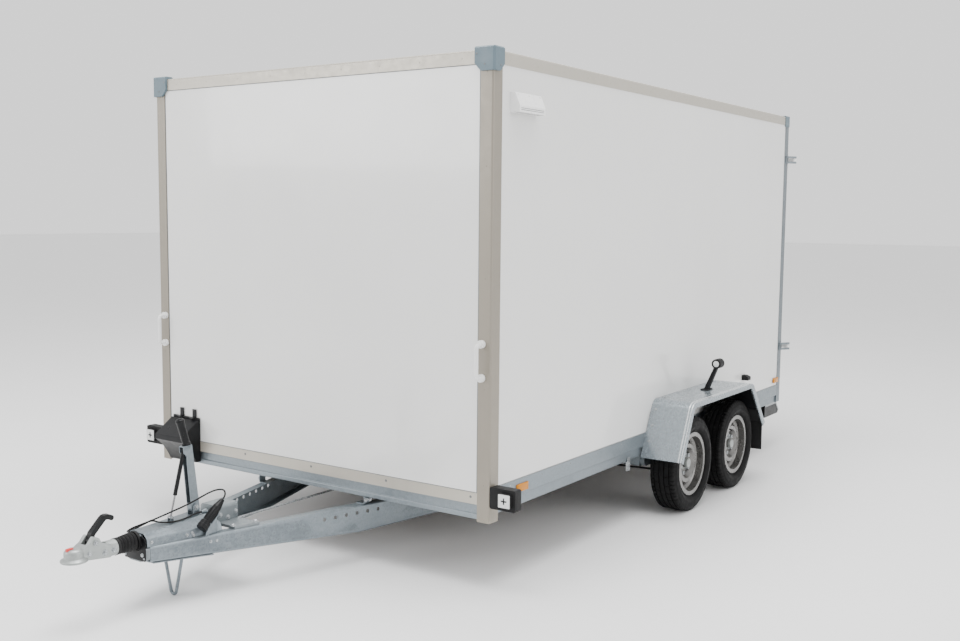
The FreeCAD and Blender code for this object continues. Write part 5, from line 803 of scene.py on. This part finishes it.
FIELDS = ((1013, 952, "amber"), (949, 868, "red"), (865, 832, "white"), (829, 795, "red"))
face_low, face_high = Vector((0, 3606, 254)), Vector((0, 3546, 319.7))
slope = (face_high - face_low).normalized()
face_out = Vector((0, slope.z, -slope.y))
for side, s in SIDES.items():
    for k, (a, b, kind) in enumerate(FIELDS):
        bm = bmesh.new()
        corners = []
        for x, share in ((a, 0.08), (b, 0.08), (b, 0.92), (a, 0.92)):
            corners.append(at(*(Vector((s * x, 0, 0)) + face_low.lerp(face_high, share))))
        slab(bm, [c - face_out * 0.001 for c in corners], face_out * 0.0034, 0.0010)
        finish_piece("tail_field_%s_%d" % (side, k), bm, TRIM[kind])
    bm = bmesh.new()
    for x in (1005, 903, 803):
        screw(bm, at(s * x, 3577.8, 288.5), face_out, 0.0040, 0.0020)
    finish_piece("tail_screws_%s" % side, bm, TRIM["zinc"])

# Rear doors: seals, hinge and lock details

SEAL = (3561.5, 3566.4)  # the portal's seal, from front to rear
PORTAL_REAR = 3562.2
HINGES = (702, 1966)
LOCK_SIDE = 78  # a lock bar's middle from the centre line
bm = bmesh.new()
for s in (1, -1):
    for x0, x1, z0, z1 in ((22, 1022, 484, 492), (22, 1022, 2191, 2199), (1013, 1021, 492, 2191)):
        brick(bm, at(s * x0, SEAL[0], z0), at(s * x1, SEAL[1], z1), 0.0012)
finish_piece("portal_seal", bm, TRIM["seal"])

for side, s in SIDES.items():
    leaf = "leaf_%s" % side
    door, bar = "door_%s" % side, "lock_bar_%s" % side
    bm = bmesh.new()
    brick(bm, at(s * 4.2, 3574, 480), at(s * 1.0, 3582, 2202), 0.0008)
    finish_piece("meeting_lip_%s" % side, bm, TRIM["seal"], leaf)
    bm = bmesh.new()
    for z in HINGES:
        for x in (1012, 975, 938):
            for dz in (13, -13):
                fasten(hex_bolt, bm, door, (s * x, BEHIND, z + dz), FORWARDS, BACKWARDS, 0.0062, 0.0048,
                       0.3 * x)
    for z in (560, 1330, 2100):
        for dx in (20, -20):
            fasten(hex_bolt, bm, bar, (s * LOCK_SIDE + dx, BEHIND, z), FORWARDS, BACKWARDS, 0.0052, 0.0027,
                   0.2 * dx)
    finish_piece("door_bolts_%s" % side, bm, TRIM["zinc"], leaf)
    bm = bmesh.new()
    clear = [z for z in range(520, 2190, 180) if min(abs(z - hinge) for hinge in HINGES) > 60]
    spots = [(x, z) for z in clear for x in (1012, 23)]
    spots += [(x, z) for x in range(140, 1000, 140) for z in (495, 2187)]
    for x, z in spots:
        fasten(dome, bm, door, (s * x, BEHIND, z), FORWARDS, BACKWARDS, 0.0040, 0.0014)
    finish_piece("door_rivets_%s" % side, bm, TRIM["white_screw"], leaf)
    bm = bmesh.new()
    for x in range(270, 372, 12):
        place, _ = touch(bar, (s * x, 3626.5, 1300), DOWN)
        if place is not None:
            brick(bm, place + Vector((-0.0022, -0.0040, -0.0004)), place + Vector((0.0022, 0.0040, 0.0014)),
                  0.0008)
    finish_piece("lock_grip_%s" % side, bm, LOOK["black_rubber"], leaf)
    bm = bmesh.new()
    for z in (461, 2221):
        for dx in (17.5, -17.5):
            middle = s * LOCK_SIDE + dx
            brick(bm, at(middle - 2.5, PORTAL_REAR, z - 13), at(middle + 2.5, 3618, z + 13), 0.0012)
        brick(bm, at(s * LOCK_SIDE - 20, PORTAL_REAR, z - 13), at(s * LOCK_SIDE + 20, 3567, z + 13), 0.0012)
    finish_piece("lock_keepers_%s" % side, bm, TRIM["zinc"])

# Blank plate with its lamps, and the triangular rear reflectors, in metres

behind = (("rear_portal", 440), ("rear_member", 385))
faces = [touch(name, (0, BEHIND, z), FORWARDS)[0] for name, z in behind]
plate_y = max((face.y for face in faces if face is not None), default=at(0, PORTAL_REAR, 0).y)
bm = bmesh.new()
brick(bm, Vector((-0.260, plate_y, 0.335)), Vector((0.260, plate_y + 0.0030, 0.445)), 0.0012)
finish_piece("blank_plate", bm, TRIM["plate"])
bm = bmesh.new()
brick(bm, Vector((-0.266, plate_y - 0.0005, 0.329)), Vector((0.266, plate_y + 0.0016, 0.451)), 0.0008)
for x in (-0.205, 0.205):
    dome(bm, Vector((x, plate_y + 0.003, 0.390)), BACKWARDS, 0.0060, 0.0025)
finish_piece("plate_holder", bm, LOOK["black_plastic"])
bm_body, bm_glass = bmesh.new(), bmesh.new()
for x in (-0.120, 0.120):
    brick(bm_body, Vector((x - 0.030, plate_y, 0.456)), Vector((x + 0.030, plate_y + 0.030, 0.474)), 0.004)
    brick(bm_glass, Vector((x - 0.022, plate_y + 0.006, 0.4545)),
          Vector((x + 0.022, plate_y + 0.024, 0.4575)), 0.001)
finish_piece("plate_lamps", bm_body, LOOK["black_plastic"])
finish_piece("plate_lamp_glass", bm_glass, TRIM["white"])
bm_red, bm_rim = bmesh.new(), bmesh.new()
for s in (1, -1):
    centre = Vector((s * 0.560, plate_y, 0.385))
    for part, size, depth in ((bm_rim, 0.074, 0.0035), (bm_red, 0.062, 0.0055)):
        corners = [centre + Vector((size * math.sin(t), 0, size * math.cos(t))) for t in
                   (0, 2 * math.pi / 3, 4 * math.pi / 3)]
        slab(part, corners, Vector((0, depth, 0)), 0.0016)
finish_piece("rear_triangles", bm_red, TRIM["red"])
finish_piece("rear_triangle_frames", bm_rim, LOOK["black_plastic"])

# Corner caps: fixing screws

bm = bmesh.new()
for s in (1, -1):
    for x, y, z, look in ((s * 1000, -200, 2188, BACKWARDS), (s * 960, -200, 2232, BACKWARDS),
                          (s * 1300, 34, 2186, (-s, 0, 0)), (s * 1300, 66, 2234, (-s, 0, 0))):
        fasten(screw, bm, "corner_caps", (x, y, z), look, None, 0.0045, 0.0018)
finish_piece("cap_screws", bm, TRIM["grey_plastic"])

# Bolts of the fenders, the mud flaps and the chock's holder; the flaps' ribs

bm = bmesh.new()
for side, s in SIDES.items():
    name = "fender_%s" % side
    for y in (1640, 1830, 2210, 2340):
        fasten(hex_bolt, bm, name, (s * 1062, y, 800), DOWN, None, 0.0065, 0.0048, 0.01 * y)
    for z in (560, 480, 400):
        for y, look in ((1200, BACKWARDS), (2900, FORWARDS)):
            place, normal = touch(name, (s * 1064, y, z), look)
            if place is not None and abs(normal.y) > 0.5:
                hex_bolt(bm, place, normal, 0.0060, 0.0045, 0.02 * z)
    for x in (1085, 1150, 1220):
        fasten(hex_bolt, bm, "mud_flaps", (s * x, BEHIND_FLAPS, 408), FORWARDS, None, 0.0065, 0.0048,
               0.01 * x)
for x in (-920, -770):
    for z in (330, 560):
        fasten(hex_bolt, bm, "chock_holder", (x, -400, z), BACKWARDS, None, 0.0062, 0.0046, 0.1 * x)
finish_piece("sheet_bolts", bm, TRIM["zinc"])

bm = bmesh.new()
for s in (1, -1):
    for z in range(196, 392, 14):
        place, _ = touch("mud_flaps", (s * 1152, BEHIND_FLAPS, z), FORWARDS)
        if place is not None:
            brick(bm, place + Vector((-0.088, -0.0008, -0.0022)), place + Vector((0.088, 0.0016, 0.0022)),
                  0.0012)
finish_piece("flap_ribs", bm, LOOK["black_rubber"])

# Rolled double bead along the fender's outer edge, and a black sheet of painted shade under it

def rounded(points, radius, steps=10):
    """Path through flat points with its corners turned into arcs."""
    path = [Vector(points[0])]
    for before, corner, after in zip(points, points[1:], points[2:]):
        b, c, a = Vector(before), Vector(corner), Vector(after)
        into, out = (c - b).normalized(), (a - c).normalized()
        turn = into.angle(out)
        cut = radius * math.tan(turn / 2)
        start, end = c - into * cut, c + out * cut
        centre = c + (out - into).normalized() * (radius / math.cos(turn / 2))
        u, w = start - centre, end - centre
        for k in range(steps + 1):
            t = k / steps
            path.append(centre + (u * math.sin((1 - t) * turn) + w * math.sin(t * turn)) / math.sin(turn))
    path.append(Vector(points[-1]))
    return path


def moved_in(points, distance):
    """Flat path moved down and inwards by a distance."""
    lines = []
    for a, b in zip(points, points[1:]):
        d = (Vector(b) - Vector(a)).normalized()
        n = Vector((d.y, -d.x)) * distance
        lines.append((Vector(a) + n, d))
    moved = [lines[0][0]]
    for (p, d), (q, e) in zip(lines, lines[1:]):
        t = ((q - p).x * e.y - (q - p).y * e.x) / (d.x * e.y - d.y * e.x)
        moved.append(p + d * t)
    end = Vector(points[-1])
    moved.append(end + Vector((lines[-1][1].y, -lines[-1][1].x)) * distance)
    return moved


SKIRT = ((1420.0, 318.0), (1560.0, 610.0), (2420.0, 610.0), (2636.0, 345.0))
SKIRT_CORNER = 62.0


def skirt_path(depth):
    """The fender's outline as seen from the side, from front to rear, at a depth in its sheet."""
    return rounded(moved_in(SKIRT, depth), SKIRT_CORNER - depth)


for side, s in SIDES.items():
    for k, (x, radius, depth) in enumerate(((1264.2, 6.7, 5.8), (1249.5, 4.6, 2.6))):
        pipe("fender_bead_%s_%d" % (side, k), [at(s * x, p.x, p.y) for p in skirt_path(depth)], radius / 1000,
             TRIM["bead"], order=2)

# A black sheet just inside each fender paints the shadow in the wheel arch.
for side, s in SIDES.items():
    bm = bmesh.new()
    faces = []
    for path in (skirt_path(3.4), skirt_path(4.6)):
        faces.append([[bm.verts.new(at(s * x, p.x, p.y)) for p in path] for x in (1041.0, 1244.0)])
    (a, b), (c, d) = faces
    for p, q in ((a, b), (b, d), (d, c), (c, a)):
        for k in range(len(p) - 1):
            bm.faces.new((p[k], p[k + 1], q[k + 1], q[k]))
    for k in (0, -1):
        bm.faces.new((a[k], b[k], d[k], c[k]))
    finish_piece("fender_liner_%s" % side, bm, LOOK["black_plastic"])

# Black end plate of the drawbar's nose; jacking brackets and the tail lamps' end plates

NOSE_OUTLINE = ((-62, 202), (62, 202), (66, 210), (66, 292), (46, 302), (-46, 302), (-66, 292), (-66, 210))
LAMP_PLATE = ((3340, 306), (3340, 319.2), (3548, 319.2), (3604, 256), (3596, 250), (3541, 308))
bm = bmesh.new()
slab(bm, [at(x, -985.4, z) for x, z in NOSE_OUTLINE], Vector((0, -0.0022, 0)), 0.0009)
finish_piece("nose_plate", bm, LOOK["black_plastic"])
bm = bmesh.new()
for s in (1, -1):
    brick(bm, at(s * 990, 1262, 316.5), at(s * 1034, 1312, 319.6), 0.001)
    brick(bm, at(s * 1029, 1266, 272), at(s * 1034, 1308, 317), 0.0016)
    brick(bm, at(s * 1034, 1274, 300), at(s * 1036.5, 1300, 342), 0.001)
    for z in (282, 308):
        hex_bolt(bm, at(s * 1034.2, 1287, z), (s, 0, 0), 0.0075, 0.0060, 0.2, 0.003)
    slab(bm, [at(s * 1019.4, y, z) for y, z in LAMP_PLATE], Vector((s * 0.0026, 0, 0)), 0.0006)
finish_piece("rail_brackets", bm, TRIM["zinc"])

# Under the floor: brake rod, balance bar and brake cables

pipe("brake_rod", [at(0, -480, 246), at(0, -200, 246), at(0, 900, 236), at(0, 1380, 236)], 0.0050,
     TRIM["zinc"])
bm = bmesh.new()
brick(bm, at(-95, 1376, 231), at(95, 1386, 241), 0.002)
brick(bm, at(-14, 1368, 227), at(14, 1394, 245), 0.003)
for x in (-84, -28, 28, 84):
    hex_bolt(bm, at(x, 1386, 236), BACKWARDS, 0.0060, 0.0046, 0.1 * x)
finish_piece("balance_bar", bm, TRIM["zinc"])
for side, s in SIDES.items():
    for end, start in (("front", 84), ("rear", 28)):
        mid = WHEELS[end]
        pipe("brake_cable_%s_%s" % (end, side),
             [at(s * start, 1390, 236), at(s * start, 1450, 234), at(s * (start + 60), 1520, 226),
              at(s * (start + 330), mid - 190, 222), at(s * 820, mid - 100, 214), at(s * 980, mid + 70, 176),
              at(s * 1050, mid + 74, 188), at(s * 1077, mid + 74, 196)], 0.0055, LOOK["black_rubber"])

# Screws of the grab handles and the vent hoods, and strips of painted shade for the hoods' slots

bm = bmesh.new()
for s in (1, -1):
    for z in (902, 1054):
        fasten(screw, bm, "grab_handles", (s * 993, -300, z), BACKWARDS, FORWARDS, 0.0050, 0.0022)
    for y in (146, 232, 319):
        fasten(screw, bm, "vent_hoods", (s * 1200, y, 2080), (-s, 0, 0), None, 0.0040, 0.0016)
finish_piece("white_fixings", bm, TRIM["white_screw"])
# Grey strips on each hood paint the shade inside its slots.
bm = bmesh.new()
for s in (1, -1):
    for z in (2016, 2023):
        brick(bm, at(s * 1079.2, 142, z - 1.2), at(s * 1080.6, 323, z + 1.2), 0.0005)
finish_piece("vent_slot_shade", bm, TRIM["grey_plastic"])

# Floor, light, camera

FLOOR_SIZE = 60.0
FLOOR_TOP = -0.0005  # just below the tyres, so that the faces don't flicker
WORLD_STRENGTH = 1.35
bm = bmesh.new()
bmesh.ops.create_grid(bm, x_segments=8, y_segments=8, size=FLOOR_SIZE)
mesh = bpy.data.meshes.new("floor")
bm.to_mesh(mesh)
bm.free()
pale = Finish("pale_floor", (0.86, 0.86, 0.86), 0.55)
pale.tint(pale.noise(1.5, 6.0, 0.6), (0.84, 0.84, 0.84), 0.5)
pale.gloss(pale.noise(30.0, 4.0), 0.5, 0.62)
mesh.materials.append(pale.mat)
floor = linked("floor", mesh)
floor.location = (0, 0, FLOOR_TOP)

world = bpy.data.worlds.new("studio")
world.use_nodes = True
background = world.node_tree.nodes["Background"]
background.inputs["Color"].default_value = (1.0, 1.0, 1.0, 1.0)
background.inputs["Strength"].default_value = WORLD_STRENGTH
bpy.context.scene.world = world


def soft_light(name, place, target, size, power):
    """White rectangular area light that looks at a target."""
    data = bpy.data.lights.new(name, "AREA")
    data.shape = "RECTANGLE"
    data.size, data.size_y = size
    data.energy = power
    light = linked(name, data)
    light.location = place
    light.rotation_euler = (Vector(target) - Vector(place)).to_track_quat("-Z", "Y").to_euler()


soft_light("key_above", (0.5, -1.0, 7.5), (0.0, 0.0, 0.4), (5.0, 5.0), 820)
soft_light("fill_front", (-5.5, -8.0, 3.6), (0.0, -1.0, 0.9), (4.0, 3.0), 260)
soft_light("side_panel", (8.0, 1.0, 3.4), (1.0, 0.4, 1.1), (6.0, 4.0), 170)

# The camera as fitted to the box's corner ridges: its place and its three directions
camera_data = bpy.data.cameras.new("camera")
camera_data.lens = 40.51
camera_data.sensor_width = 36.0
camera_data.clip_start = 0.05
camera_data.clip_end = 200.0
camera = linked("camera", camera_data)
right = Vector((0.82342934, 0.56734601, 0.00909))
up = Vector((-0.06343055, 0.07611811, 0.99507919))
look = Vector((-0.5638623, 0.81995398, -0.09866495))
camera.matrix_world = Matrix.Translation((3.50337553, -4.82697647, 1.58829136)) @ Matrix(
    (right, up, -look)).transposed().to_4x4()
bpy.context.scene.camera = camera
